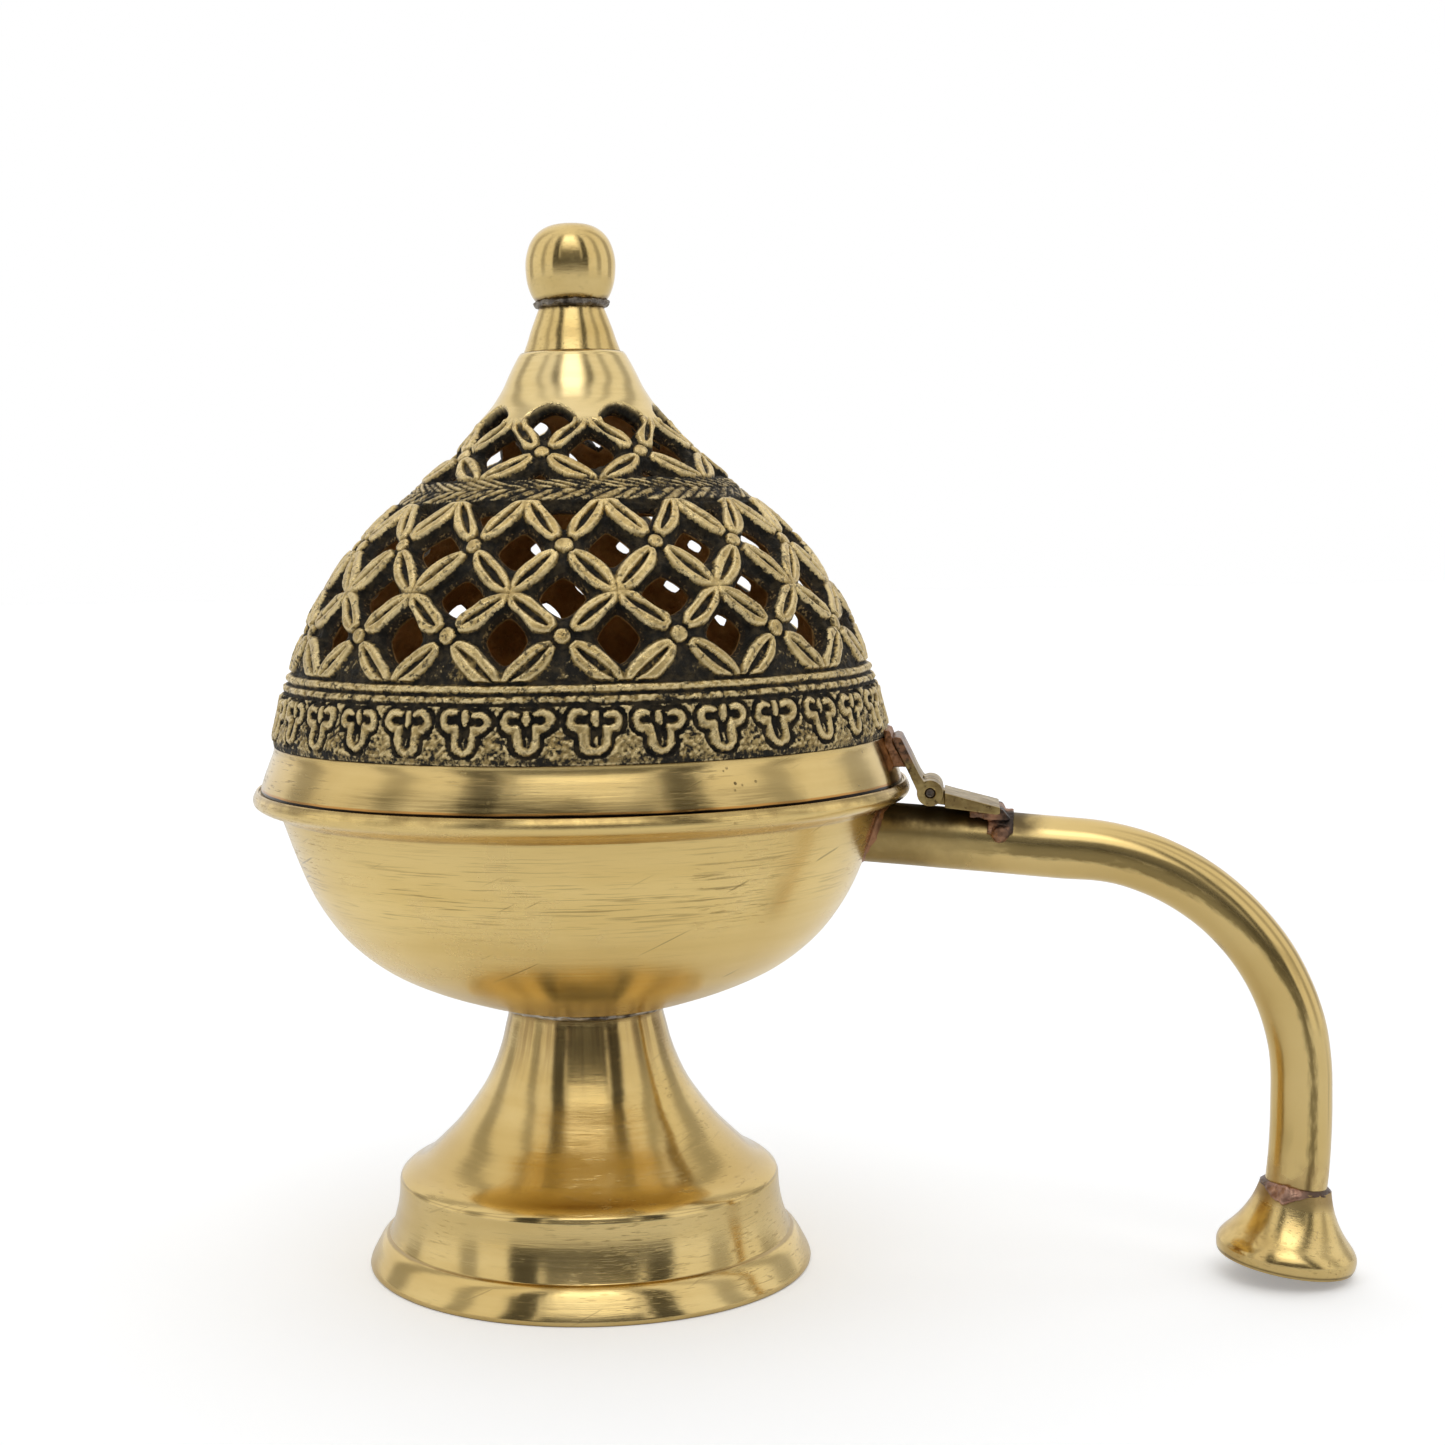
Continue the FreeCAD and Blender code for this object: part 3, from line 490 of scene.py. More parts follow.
# --------------------------------------------------------------------- the foot
foot_prof = join([spline(FOOT_FLANGE, 0.35), spline([FOOT_FLANGE[-1], FOOT_DRUM[0]], 0.2), spline(FOOT_DRUM, 0.5),
                  spline([FOOT_DRUM[-1], FOOT_TRUMPET[0]], 0.3), spline(FOOT_TRUMPET, 0.5),
                  spline([FOOT_TRUMPET[-1], FOOT_IN[-1]], 0.5), spline(FOOT_IN[::-1], 0.7),
                  spline([FOOT_IN[0], FOOT_FLANGE[0]], 0.6)], 0.16)
foot_prof = foot_prof[:-1] if np.allclose(foot_prof[0], foot_prof[-1], atol=1e-3) else foot_prof


def foot_tint(n, col, obj, g, z):
    """Brown heat staining running down from the solder, and a warmer shoulder."""
    streak = n.range(n.noise(n.scale(g, (7.0, 7.0, 30.0)), 1.0, 3.0, 0.6), 0.40, 0.62)
    top = n.math("MULTIPLY", n.range(z, 0.0300, 0.0430, 0.0, 0.85), n.math("ADD", n.math("MULTIPLY", streak, 0.75), 0.25))
    col = n.mix(top, col, (0.330, 0.215, 0.085))
    warm = n.math("MULTIPLY", n.range(z, 0.0160, 0.0180), n.range(z, 0.0300, 0.0220, 0.0, 0.58))
    return n.mix(warm, col, (0.560, 0.385, 0.130))


foot_mat = brass("foot_polished", tint=foot_tint, rough=0.16, lines=0.9, scuffs=0.5, smudge=0.25, scratch=0.3,
                 seams=((5.68, 0.30, 0.50), (15.6, 0.22, 0.30), (44.3, 0.9, 0.80)))
put(lathe("foot_turned", foot_prof, 360, 0.10, 0.045, 3, closed=True), "base", "foot", foot_mat)

# --------------------------------------------------------------------- the bowl
bi = offset(BOWL_OUT, 1.6)
bi[0] = (13.2, 46.55); bi[-1] = (49.75, 79.3)
bi = np.vstack([bi, [(50.60, 81.6), (50.90, 83.20)]])
bowl_prof = join([spline([(0, 44.95), BOWL_OUT[0]], 1.2), spline(BOWL_OUT, 0.55), spline(BEAD_OUT, 0.2),
                  spline(LIP_TOP, 0.1), spline([LIP_TOP[-1], (55.05, 83.20)], 0.1), spline([(55.05, 83.20), (50.90, 83.20)], 0.5),
                  spline(bi[::-1], 0.8), spline([bi[0], (0, 46.55)], 1.2)], 0.10)


def bowl_tint(n, col, obj, g, z):
    """Browner and darker toward the bottom, lighter high on the bowl, and darker patches along the top of the rim."""
    m = n.math("ADD", z, n.math("MULTIPLY", n.math("SUBTRACT", n.noise(obj, 60.0, 3.0, 0.5), 0.5), 0.006))
    col = n.mix(n.range(m, 0.0540, 0.0465, 0.0, 0.90), col, (0.570, 0.385, 0.118))
    col = n.mix(n.range(m, 0.0690, 0.0790, 0.0, 0.62), col, (0.745, 0.545, 0.215))
    rim = n.math("MULTIPLY", n.range(z, 0.0818, 0.0826), n.range(n.noise(obj, 210.0, 3.0, 0.6), 0.40, 0.62, 0.05, 0.45))
    return n.mix(rim, col, (0.300, 0.195, 0.070))


bowl_mat = brass("bowl_polished", hi=(0.930, 0.708, 0.302), lo=(0.805, 0.582, 0.215), tint=bowl_tint, rough=0.24, lines=1.0, scuffs=1.0, scuff_z=(60, 72), pits=0.9, pit_z=(76.5, 82.5), smudge=0.35, scratch=1.0, hairs=0.70,
                 seams=((79.35, 0.55, 0.66), (83.45, 0.45, 0.9), (45.2, 0.8, 0.5)))
put(lathe("bowl_spun", bowl_prof, 400, 0.10, 0.035, 5), "base", "bowl", bowl_mat)

# --------------------------------------------------------------------- lid band
band_in = [(52.45, 83.30), (52.25, 84.90), (51.75, 86.40), (51.10, 88.00), (50.45, 89.70), (50.10, 91.15)]
band_prof = join([spline(BAND_OUT, 0.3), spline([BAND_OUT[-1], band_in[-1]], 0.4), spline(band_in[::-1], 0.6),
                  spline([band_in[0], BAND_OUT[0]], 0.4)], 0.12)


def band_tint(n, col, obj, g, z):
    """Streaky tarnish low on the near side, an orange line and a black joint at the very foot."""
    s = n.sep(obj)
    near = n.math("ADD", n.math("MULTIPLY", s[0], math.cos(math.radians(-84))), n.math("MULTIPLY", s[1], math.sin(math.radians(-84))))
    lines = n.range(n.noise(n.scale(g, (5.0, 5.0, 3000.0)), 1.0, 3.0, 0.65), 0.36, 0.62)
    patch = n.range(n.noise(obj, 40.0, 3.0, 0.55), 0.36, 0.58, 0.25, 1.0)
    m = n.math("MULTIPLY", n.range(near, 0.040, 0.0475), n.range(z, 0.0880, 0.0862))
    m = n.math("ADD", n.math("MULTIPLY", m, 0.80), n.math("MULTIPLY", n.range(z, 0.0875, 0.0845), 0.16))
    m = n.math("MULTIPLY", m, n.math("MULTIPLY", patch, n.math("ADD", n.math("MULTIPLY", lines, 0.55), 0.45)))
    col = n.mix(m, col, (0.215, 0.150, 0.055))
    wave = n.math("MULTIPLY", n.math("SUBTRACT", n.noise(obj, 90.0, 2.0, 0.5), 0.5), 0.0004)
    zz = n.math("ADD", z, wave)
    rr = n.math("SQRT", n.math("ADD", n.math("MULTIPLY", s[0], s[0]), n.math("MULTIPLY", s[1], s[1])))
    outer = n.range(rr, 0.05405, 0.05440)          # the joint line is on the outside only
    dull = n.range(n.noise(obj, 170.0, 4.0, 0.6), 0.36, 0.62, 0.30, 0.85)
    under = n.math("MULTIPLY", n.math("MULTIPLY", n.math("SUBTRACT", 1.0, outer), n.range(z, 0.0852, 0.0838)), dull)
    col = n.mix(under, col, (0.330, 0.215, 0.085))
    col = n.mix(n.math("MULTIPLY", outer, n.range(zz, 0.08440, 0.08420, 0.0, 0.85)), col, (0.520, 0.250, 0.060))
    return n.mix(n.math("MULTIPLY", outer, n.range(zz, 0.08405, 0.08390)), col, (0.010, 0.006, 0.003))


band_mat = brass("band_bright", tint=band_tint, rough=0.20, lines=1.0, scuffs=0.9, pits=0.7, pit_z=(84, 90.5), scratch=0.5,
                 seams=((83.45, 0.80, 0.85), (91.15, 0.25, 0.7)))
put(lathe("band_turned", band_prof[:-1], 400, 0.07, 0.04, 7, closed=True), "lid", "lid_band", band_mat)

# ----------------------------------------------------------------------- finial
neck_prof = join([spline([(0, 152.0), (4.5, 152.0)], 0.6), spline([(4.5, 152.0), (4.5, 156.4)], 0.5),
                  spline([(4.5, 156.40), NECK_OUT[0]], 0.5), spline(NECK_OUT, 0.25),
                  spline([NECK_OUT[-1], (0, 164.15)], 0.5)], 0.12)
fin_mat = brass("finial_polished", rough=0.20, lines=0.8, scuffs=0.4, seams=((156.45, 0.25, 0.5), (164.3, 1.0, 0.85)))
put(lathe("finial_neck_turned", neck_prof, 160, 0.03, 0.12, 9), "lid", "finial_neck", fin_mat)
ball_prof = join([spline([(0, 159.2), (2.0, 159.2)], 0.5), spline([(2.0, 159.2), (2.0, 164.75)], 0.5),
                  spline([(2.0, 164.75), BALL_OUT[0]], 0.4), spline(BALL_OUT, 0.22)], 0.10)
put(lathe("finial_ball_turned", ball_prof, 180, 0.05, 0.10, 11, oval=0.004), "lid", "finial_ball",
    brass("ball_polished", rough=0.17, lines=0.6, scuffs=0.3, seams=((165.0, 0.8, 0.75),)))

# ----------------------------------------------------------------- charcoal pan
PZ = 54.0
po = [(28.00, PZ), (31.50, 55.2), (35.20, 57.9), (38.20, 60.9), (39.90, 63.55)]
pi = offset(po, 0.9); pi[0] = (27.50, PZ + 0.9); pi[-1] = (39.05, 63.95)
RZ = 63.70
pan_prof = join([spline([(0, PZ), po[0]], 1.5), spline(po, 0.5), spline([po[-1], (42.85, RZ)], 0.4),
                 spline([(42.85, RZ), (43.30, RZ + 0.45), (42.85, RZ + 0.90)], 0.2),
                 spline([(42.85, RZ + 0.90), (39.60, RZ + 0.90)], 0.4), spline([(39.60, RZ + 0.9), pi[-1]], 0.3),
                 spline(pi[::-1], 0.5), spline([pi[0], (0, PZ + 0.9)], 1.5)], 0.15)


def soot(n, col, obj, g, z):
    s = n.sep(obj)
    rr = n.math("SQRT", n.math("ADD", n.math("MULTIPLY", s[0], s[0]), n.math("MULTIPLY", s[1], s[1])))
    m = n.math("ADD", n.range(rr, 0.026, 0.006, 0.0, 0.75), n.math("MULTIPLY", n.math("SUBTRACT", n.noise(obj, 120.0, 4.0, 0.6), 0.5), 0.8), None, True)
    return n.mix(m, col, (0.045, 0.035, 0.028)), n.math("MULTIPLY", m, 0.45)


put(lathe("charcoal_pan_spun", pan_prof, 220, 0.10, 0.06, 13, rings=True), "pan", "charcoal_pan",
    brass("pan_dull", hi=(0.66, 0.50, 0.24), lo=(0.45, 0.30, 0.12), rough=0.36, lines=1.4, scuffs=0.8, tint=soot, aniso=0.4))

# ------------------------------------------------------------------ handle tube
SL = math.radians(4.95)
BR, BCX, BCZ = 39.10, 80.95, 32.861
DROP_Z = 29.89
TR, TSW = 122.5, math.radians(7.1)
bend0 = np.array([BCX + BR * math.sin(SL), BCZ + BR * math.cos(SL)])
run_dir = np.array([math.cos(SL), -math.sin(SL)])
LEN1, LEN2, LEN3, LEN4 = 38.97, BR * (math.pi / 2 - SL), BCZ - DROP_Z, TR * TSW
run_start = bend0 - run_dir * LEN1
TUBE_LEN = LEN1 + LEN2 + LEN3 + LEN4


def tube_path(s):
    """Centre and unit tangent in the XZ plane at distance s along the handle."""
    s = np.asarray(s, float)
    c = np.zeros(s.shape + (2,)); t = np.zeros(s.shape + (2,))
    a = s <= LEN1
    c[a] = run_start + s[a][:, None] * run_dir; t[a] = run_dir
    b = (s > LEN1) & (s <= LEN1 + LEN2)
    g = math.pi / 2 - SL - (s[b] - LEN1) / BR
    c[b] = np.stack([BCX + BR * np.cos(g), BCZ + BR * np.sin(g)], -1); t[b] = np.stack([np.sin(g), -np.cos(g)], -1)
    e = (s > LEN1 + LEN2) & (s <= LEN1 + LEN2 + LEN3)
    c[e] = np.stack([np.full(e.sum(), BCX + BR), BCZ - (s[e] - LEN1 - LEN2)], -1); t[e] = (0.0, -1.0)
    d = s > LEN1 + LEN2 + LEN3
    g = -(s[d] - LEN1 - LEN2 - LEN3) / TR
    c[d] = np.stack([BCX + BR - TR + TR * np.cos(g), DROP_Z + TR * np.sin(g)], -1); t[d] = np.stack([np.sin(g), -np.cos(g)], -1)
    return c, t


bowl_r = spline(BOWL_OUT, 0.2)


def tube_point(s, phi, rad):
    """Point at radius rad and angle phi round the tube; phi 0 is the outside of the bend, 90 degrees is +Y."""
    c, t = tube_path(s)
    nx, nz = -t[:, 1], t[:, 0]
    return np.stack([c[:, 0] + nx * rad * np.cos(phi), rad * np.sin(phi), c[:, 1] + nz * rad * np.cos(phi)], -1)


def meets_bowl(phi, rad, inset=0.0):
    """Distance along the run where the line at (phi, rad) comes out of the bowl's skin."""
    lo = np.zeros_like(phi); hi = np.full_like(phi, 14.0)
    for _ in range(30):
        m = (lo + hi) / 2
        p = tube_point(m, phi, rad)
        out = np.hypot(p[:, 0], p[:, 1]) > np.interp(p[:, 2], bowl_r[:, 1], bowl_r[:, 0]) - inset
        hi = np.where(out, m, hi); lo = np.where(out, lo, m)
    return (lo + hi) / 2


NP = 112
phi = np.arange(NP) * 2 * math.pi / NP
s_out = meets_bowl(phi, np.full(NP, 5.0), 0.35)
rows = np.r_[np.linspace(0, 1, 190)] * TUBE_LEN
first = s_out.mean()
rows = rows[rows > first + 0.2]; rows = np.r_[first, rows]
verts = []; grain = []
for rad in (5.0, 4.0):
    block = []
    for s in (rows if rad == 5.0 else rows[::-1]):
        k = np.clip(1 - (s - first) / 9.0, 0, 1)
        ss = s + (s_out - first) * k
        bend = np.exp(-((s - LEN1 - LEN2 * 0.5) / (LEN2 * 0.42)) ** 2)
        rr = rad * (1 - 0.012 * bend * np.cos(2 * phi))
        p = tube_point(ss, phi, rr)
        if rad == 5.0:
            nz_ = fbm(p * 0.11 + 5.1, 2, 21) * 0.075
            under = 0.42 * np.clip(-np.cos(phi), 0, 1) ** 1.5 * (1 - float(sstep(LEN1 - 4.0, LEN1 + 9.0, s)))
            p = tube_point(ss, phi, rr + nz_ + under - 0.02)
        block.append(p)
        verts.append(p); grain.append(np.stack([np.cos(phi) * 0.005, np.sin(phi) * 0.005, np.full(NP, s * K)], -1))
verts = np.vstack(verts); grain = np.vstack(grain)
nr = len(verts) // NP
q = grid_faces(nr, NP)
a = (nr - 1) * NP + np.arange(NP); b = (nr - 1) * NP + (np.arange(NP) + 1) % NP
q = np.vstack([q, np.stack([a, b, (np.arange(NP) + 1) % NP, np.arange(NP)], -1)])
tube_ob = mesh_np("handle_tube_drawn", verts, q[:, ::-1], None, {"grain": grain})


def tube_tint(n, col, obj, g, z):
    gs = n.sep(g)
    s = gs[2]
    ragged = n.math("SUBTRACT", n.noise(obj, 210.0, 4.0, 0.6), 0.5)
    top = n.range(gs[0], -0.0030, 0.0035)                     # 1 on the upper side, 0 underneath
    heat = n.math("ADD", n.range(s, 0.030, 0.0075), n.math("MULTIPLY", ragged, 0.9), None, True)
    heat = n.math("MULTIPLY", heat, n.range(s, 0.036, 0.020))
    # painted shadow cast by the overhanging hinge leaf on the top of the tube
    painted_leaf_shadow = n.math("MULTIPLY", n.range(n.math("ADD", gs[0], n.math("MULTIPLY", ragged, 0.0030)), 0.0012, 0.0032), n.range(n.math("ADD", s, n.math("MULTIPLY", ragged, 0.006)), 0.0335, 0.0290))
    tail = n.range(s, (TUBE_LEN - 7.0) * K, (TUBE_LEN - 2.2) * K)
    tail = n.math("MULTIPLY", tail, n.range(n.noise(obj, 260.0, 3.0, 0.6), 0.36, 0.6))
    # painted dark reflection: a streak along the near side, ragged at its edges, standing in for the dark front of the
    # room mirrored in the tube
    wob_ = n.noise(n.scale(g, (0.0, 0.0, 38.0)), 1.0, 3.0, 0.6)
    fuzz = n.noise(n.scale(g, (900.0, 900.0, 220.0)), 1.0, 3.0, 0.65)
    lie = n.range(s, (LEN1 + 8.0) * K, (TUBE_LEN - 24.0) * K, 0.0, 0.0019)
    c_ = n.math("SUBTRACT", gs[0], lie)
    c_ = n.math("ADD", c_, n.math("ADD", n.math("MULTIPLY", n.math("SUBTRACT", wob_, 0.5), 0.0012), n.math("MULTIPLY", n.math("SUBTRACT", fuzz, 0.5), 0.0018)))
    narrow = n.range(s, LEN1 * K, (TUBE_LEN - 30.0) * K, 0.0, 0.00055)
    streak = n.math("MULTIPLY", n.range(n.math("SUBTRACT", c_, narrow), -0.0022, -0.0012), n.range(n.math("ADD", c_, narrow), 0.0010, 0.0001))
    streak = n.math("MULTIPLY", streak, n.range(gs[1], -0.0015, -0.0030))
    streak = n.math("MULTIPLY", streak, n.range(s, 0.012, 0.030))
    streak = n.math("MULTIPLY", streak, n.range(n.noise(n.scale(g, (300.0, 300.0, 110.0)), 1.0, 3.0, 0.6), 0.30, 0.46, 0.45, 1.0))
    col = n.mix(n.math("MULTIPLY", heat, 0.72), col, (0.190, 0.130, 0.045))
    # painted dark reflection mixed into the colour
    col = n.mix(n.math("MULTIPLY", streak, 0.78), col, (0.150, 0.105, 0.035))
    # painted shadow under the leaf
    col = n.mix(n.math("MULTIPLY", painted_leaf_shadow, 0.85), col, (0.050, 0.034, 0.018))
    col = n.mix(n.math("MULTIPLY", tail, 0.30), col, (0.26, 0.140, 0.060))
    ro = n.math("ADD", n.math("MULTIPLY", heat, 0.20), n.math("MULTIPLY", tail, 0.2))
    ro = n.math("ADD", ro, n.math("ADD", n.math("MULTIPLY", streak, 0.12), n.math("MULTIPLY", painted_leaf_shadow, 0.25)))
    return col, ro


put(tube_ob, "base", "handle_tube",
    brass("tube_bright", rough=0.20, lines=0.8, scuffs=0.7, along=True, tint=tube_tint, aniso=0.0))

# ------------------------------------------------------------- braze at the bowl
NB, MB = 150, 16
ph = np.arange(NB) * 2 * math.pi / NB
wob = fbm(np.stack([np.cos(ph) * 2.2, np.sin(ph) * 2.2, ph * 0 + 3.0], -1), 3, 31)
w_b = 0.80 + 0.45 * wob; h_b = 1.20 + 0.75 * fbm(np.stack([np.cos(ph) * 2.6, np.sin(ph) * 2.6, ph * 0 + 9.0], -1), 3, 33)
s_c = meets_bowl(ph, np.full(NB, 5.0), 0.0)
P_c = tube_point(s_c, ph, 5.0)
s_b = meets_bowl(ph, 5.0 + w_b, 0.05)
P_b = tube_point(s_b, ph, 5.0 + w_b)
P_t = tube_point(s_c + h_b, ph, np.full(NB, 4.97))
P_in = tube_point(s_c - 0.5, ph, np.full(NB, 4.97))
ring = []
for t in np.linspace(0, 1, MB):
    ring.append((1 - t) ** 2 * P_b + 2 * t * (1 - t) * (P_c * 0.80 + (P_b + P_t) * 0.10) + t * t * P_t)
ring.append(P_in)
ring = np.array(ring)
cen = tube_point(s_c, ph, np.zeros(NB))
for i in range(1, MB - 1):
    d = ring[i] - P_c
    d /= np.linalg.norm(d, axis=1)[:, None]
    ring[i] += d * (fbm(ring[i] * 0.9, 3, 35) * 0.16)[:, None] * math.sin(math.pi * i / (MB - 1))
vb = ring.reshape(-1, 3)
q = grid_faces(MB + 1, NB)
a = MB * NB + np.arange(NB); b = MB * NB + (np.arange(NB) + 1) % NB
q = np.vstack([q, np.stack([a, b, (np.arange(NB) + 1) % NB, np.arange(NB)], -1)])
copper = lumpy_metal("copper_braze", (0.37, 0.185, 0.095), (0.235, 0.115, 0.056), (0.070, 0.045, 0.030), 0.40)
put(mesh_np("handle_braze_fillet", vb, q[:, ::-1], None, {}), "base", "handle_braze", copper)

# ------------------------------------------------------------------ handle bell
BT = math.radians(8.0)
bell_dir = np.array([-math.sin(BT), 0, -math.cos(BT)])
c_end, _ = tube_path(np.array([TUBE_LEN]))
tail1 = np.array([c_end[0, 0], 0, c_end[0, 1]])


def seat_on_tail(p, lift=0.4):
    a = math.pi + BT
    x = p[:, 0] * math.cos(a) + p[:, 2] * math.sin(a)
    z = -p[:, 0] * math.sin(a) + p[:, 2] * math.cos(a)
    return np.stack([x, p[:, 1], z], -1) + (tail1 - bell_dir * lift)


BELL_OUT = [(5.75, 0.0), (6.33, 2.2), (7.18, 4.3), (8.38, 6.4), (9.78, 8.2), (10.86, 9.5), (11.34, 10.5), (11.40, 11.3), (11.28, 12.1), (10.97, 12.8)]
BELL_IN = [(5.02, 0.0), (5.02, 2.2), (5.9, 4.0), (7.15, 6.3), (8.5, 8.4), (9.5, 10.0), (9.95, 11.4), (10.0, 12.8)]
bell_prof = join([spline(BELL_OUT, 0.25), spline([BELL_OUT[-1], BELL_IN[-1]], 0.25), spline(BELL_IN[1:][::-1], 0.4),
                  spline([BELL_IN[1], BELL_IN[0]], 0.4), spline([BELL_IN[0], BELL_OUT[0]], 0.3)], 0.18)


def bell_tint(n, col, obj, g, z):
    s = n.sep(g)[2]
    dull = n.math("MULTIPLY", n.range(n.sep(g)[0], -0.1, 0.9), n.range(n.noise(obj, 130.0, 3.0, 0.55), 0.35, 0.62))
    col = n.mix(n.math("MULTIPLY", dull, 0.55), col, (0.36, 0.215, 0.065))
    # painted shade: dark line along the lower chamfer of the rim
    edge = n.range(n.math("ABSOLUTE", n.math("SUBTRACT", s, 0.01225)), 0.00035, 0.0)
    col = n.mix(n.math("MULTIPLY", edge, 0.65), col, (0.10, 0.065, 0.025))
    m = n.math("ADD", n.range(s, 0.0036, 0.0010), n.math("MULTIPLY", n.math("SUBTRACT", n.noise(obj, 260.0, 4.0, 0.6), 0.5), 0.9), None, True)
    m = n.math("MULTIPLY", m, n.range(s, 0.0052, 0.0026))
    return n.mix(n.math("MULTIPLY", m, 0.55), col, (0.20, 0.110, 0.045)), n.math("MULTIPLY", m, 0.25)


put(lathe("handle_bell_turned", bell_prof[:-1], 200, 0.05, 0.10, 15, closed=True, place=seat_on_tail),
    "base", "handle_bell", brass("bell_polished", rough=0.21, lines=1.0, scuffs=0.6, tint=bell_tint, aniso=0.0))

# ------------------------------------------------- small soldered and brazed rings
def lumpy_ring(name, prof, segs, amp, freq, seed, place=None, lump=None):
    prof = np.asarray(prof, float); nr = len(prof)
    th = np.arange(segs) * 2 * math.pi / segs
    r = np.repeat(prof[:, 0][:, None], segs, 1); z = np.repeat(prof[:, 1][:, None], segs, 1); t = np.repeat(th[None], nr, 0)
    p = np.stack([r * np.cos(t), r * np.sin(t), z], -1).reshape(-1, 3)
    w = (fbm(p * freq, 3, seed)).reshape(nr, segs)
    wt = np.clip((prof[:, 0] - prof[:, 0].min()) / (np.ptp(prof[:, 0]) + 1e-9), 0, 1)[:, None]
    r = r + w * amp * wt
    z = z + (fbm(p * freq * 0.8 + 7.7, 3, seed + 5)).reshape(nr, segs) * amp * 0.55 * wt
    if lump:                     # (angle, spread, swell, run down)
        g = np.exp(-((((t - lump[0] + math.pi) % (2 * math.pi)) - math.pi) / lump[1]) ** 2)
        g = g * (1 + 0.35 * (fbm(p * 1.3 + 2.2, 2, seed + 9)).reshape(nr, segs))
        zc = prof[:, 1].mean()
        r = r + g * lump[2] * wt
        z = zc + (z - zc) * (1 + lump[3] * g * wt) + 0.45 * g * wt
    p = np.stack([r * np.cos(t), r * np.sin(t), z], -1).reshape(-1, 3)
    q = grid_faces(nr, segs)
    a = (nr - 1) * segs + np.arange(segs); b = (nr - 1) * segs + (np.arange(segs) + 1) % segs
    q = np.vstack([q, np.stack([a, b, (np.arange(segs) + 1) % segs, np.arange(segs)], -1)])
    if place is not None:
        p = place(p)
    return mesh_np(name, p, q, None, {})


tin = lumpy_metal("soft_solder", (0.54, 0.50, 0.43), (0.34, 0.30, 0.25), (0.070, 0.055, 0.045), 0.36)
dark_tin = lumpy_metal("dark_solder", (0.33, 0.29, 0.235), (0.15, 0.125, 0.10), (0.030, 0.024, 0.020), 0.42, 1.4)
ring_prof = [(12.6, 44.42), (13.30, 44.34), (13.85, 44.44), (14.20, 44.66), (14.32, 44.92), (14.22, 45.14), (13.6, 45.18), (12.6, 45.12)]
put(lumpy_ring("bowl_foot_solder_ring", spline(ring_prof, 0.12), 300, 0.42, 0.75, 41), "base", "bowl_foot_solder", tin)
ring_prof = [(4.2, 163.95), (5.35, 163.95), (5.85, 164.05), (6.25, 164.35), (6.35, 164.70), (6.15, 165.05), (5.6, 165.20), (4.2, 165.1)]
put(lumpy_ring("finial_solder_ring", spline(ring_prof, 0.10), 240, 0.42, 1.25, 43), "lid", "finial_solder", dark_tin)
ring_prof = [(4.85, -0.55), (5.08, -0.52), (5.34, -0.36), (5.62, -0.10), (5.80, 0.10), (5.84, 0.24), (5.70, 0.30), (5.3, 0.25), (4.85, 0.20)]
lump_at = seat_on_tail(np.array([[6.0 * math.cos(math.radians(297)), 6.0 * math.sin(math.radians(297)), 1.2]]))[0] * K
bell_copper = lumpy_metal("bell_braze_copper", (0.52, 0.315, 0.225), (0.30, 0.160, 0.110), (0.072, 0.050, 0.036), 0.36, near=tuple(float(x) for x in lump_at))
put(lumpy_ring("bell_braze_lump", spline(ring_prof, 0.10), 240, 0.26, 0.70, 47, place=seat_on_tail, lump=(math.radians(297), 0.44, 0.95, 4.2)), "base", "bell_braze", bell_copper)


# ---------------------------------------------------------------- hinge pieces
def remeshed(node, name, voxel, rounds, amp, freq, seed):
    """Softened copy of a CAD node: even mesh, eased edges, slight hand-worked unevenness."""
    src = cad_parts[node]
    me = src.data.copy()
    ob = bpy.data.objects.new(name + "_tmp", me)
    bpy.context.scene.collection.objects.link(ob)
    ob.modifiers.clear()
    m = ob.modifiers.new("w", "WELD"); m.merge_threshold = 1e-6
    m = ob.modifiers.new("r", "REMESH"); m.mode = "VOXEL"; m.voxel_size = voxel * K; m.adaptivity = 0
    m = ob.modifiers.new("s", "SMOOTH"); m.factor = 0.5; m.iterations = rounds
    bpy.context.view_layer.update()
    dg = bpy.context.evaluated_depsgraph_get()
    ev = bpy.data.meshes.new_from_object(ob.evaluated_get(dg), depsgraph=dg)
    bpy.data.objects.remove(ob)
    n = len(ev.vertices)
    co = np.zeros(n * 3, np.float32); ev.vertices.foreach_get("co", co); co = co.reshape(-1, 3)
    no = np.zeros(n * 3, np.float32); ev.vertices.foreach_get("normal", no); no = no.reshape(-1, 3)
    mm = co / K
    co = co + no * (fbm(mm * freq + seed, 3, seed) * amp * K)[:, None]
    ev.vertices.foreach_set("co", co.astype(np.float32).ravel())
    ev.name = name
    ev.materials.clear()
    ev.shade_smooth()
    ev.update()
    out = bpy.data.objects.new(name, ev)
    bpy.context.scene.collection.objects.link(out)
    return out


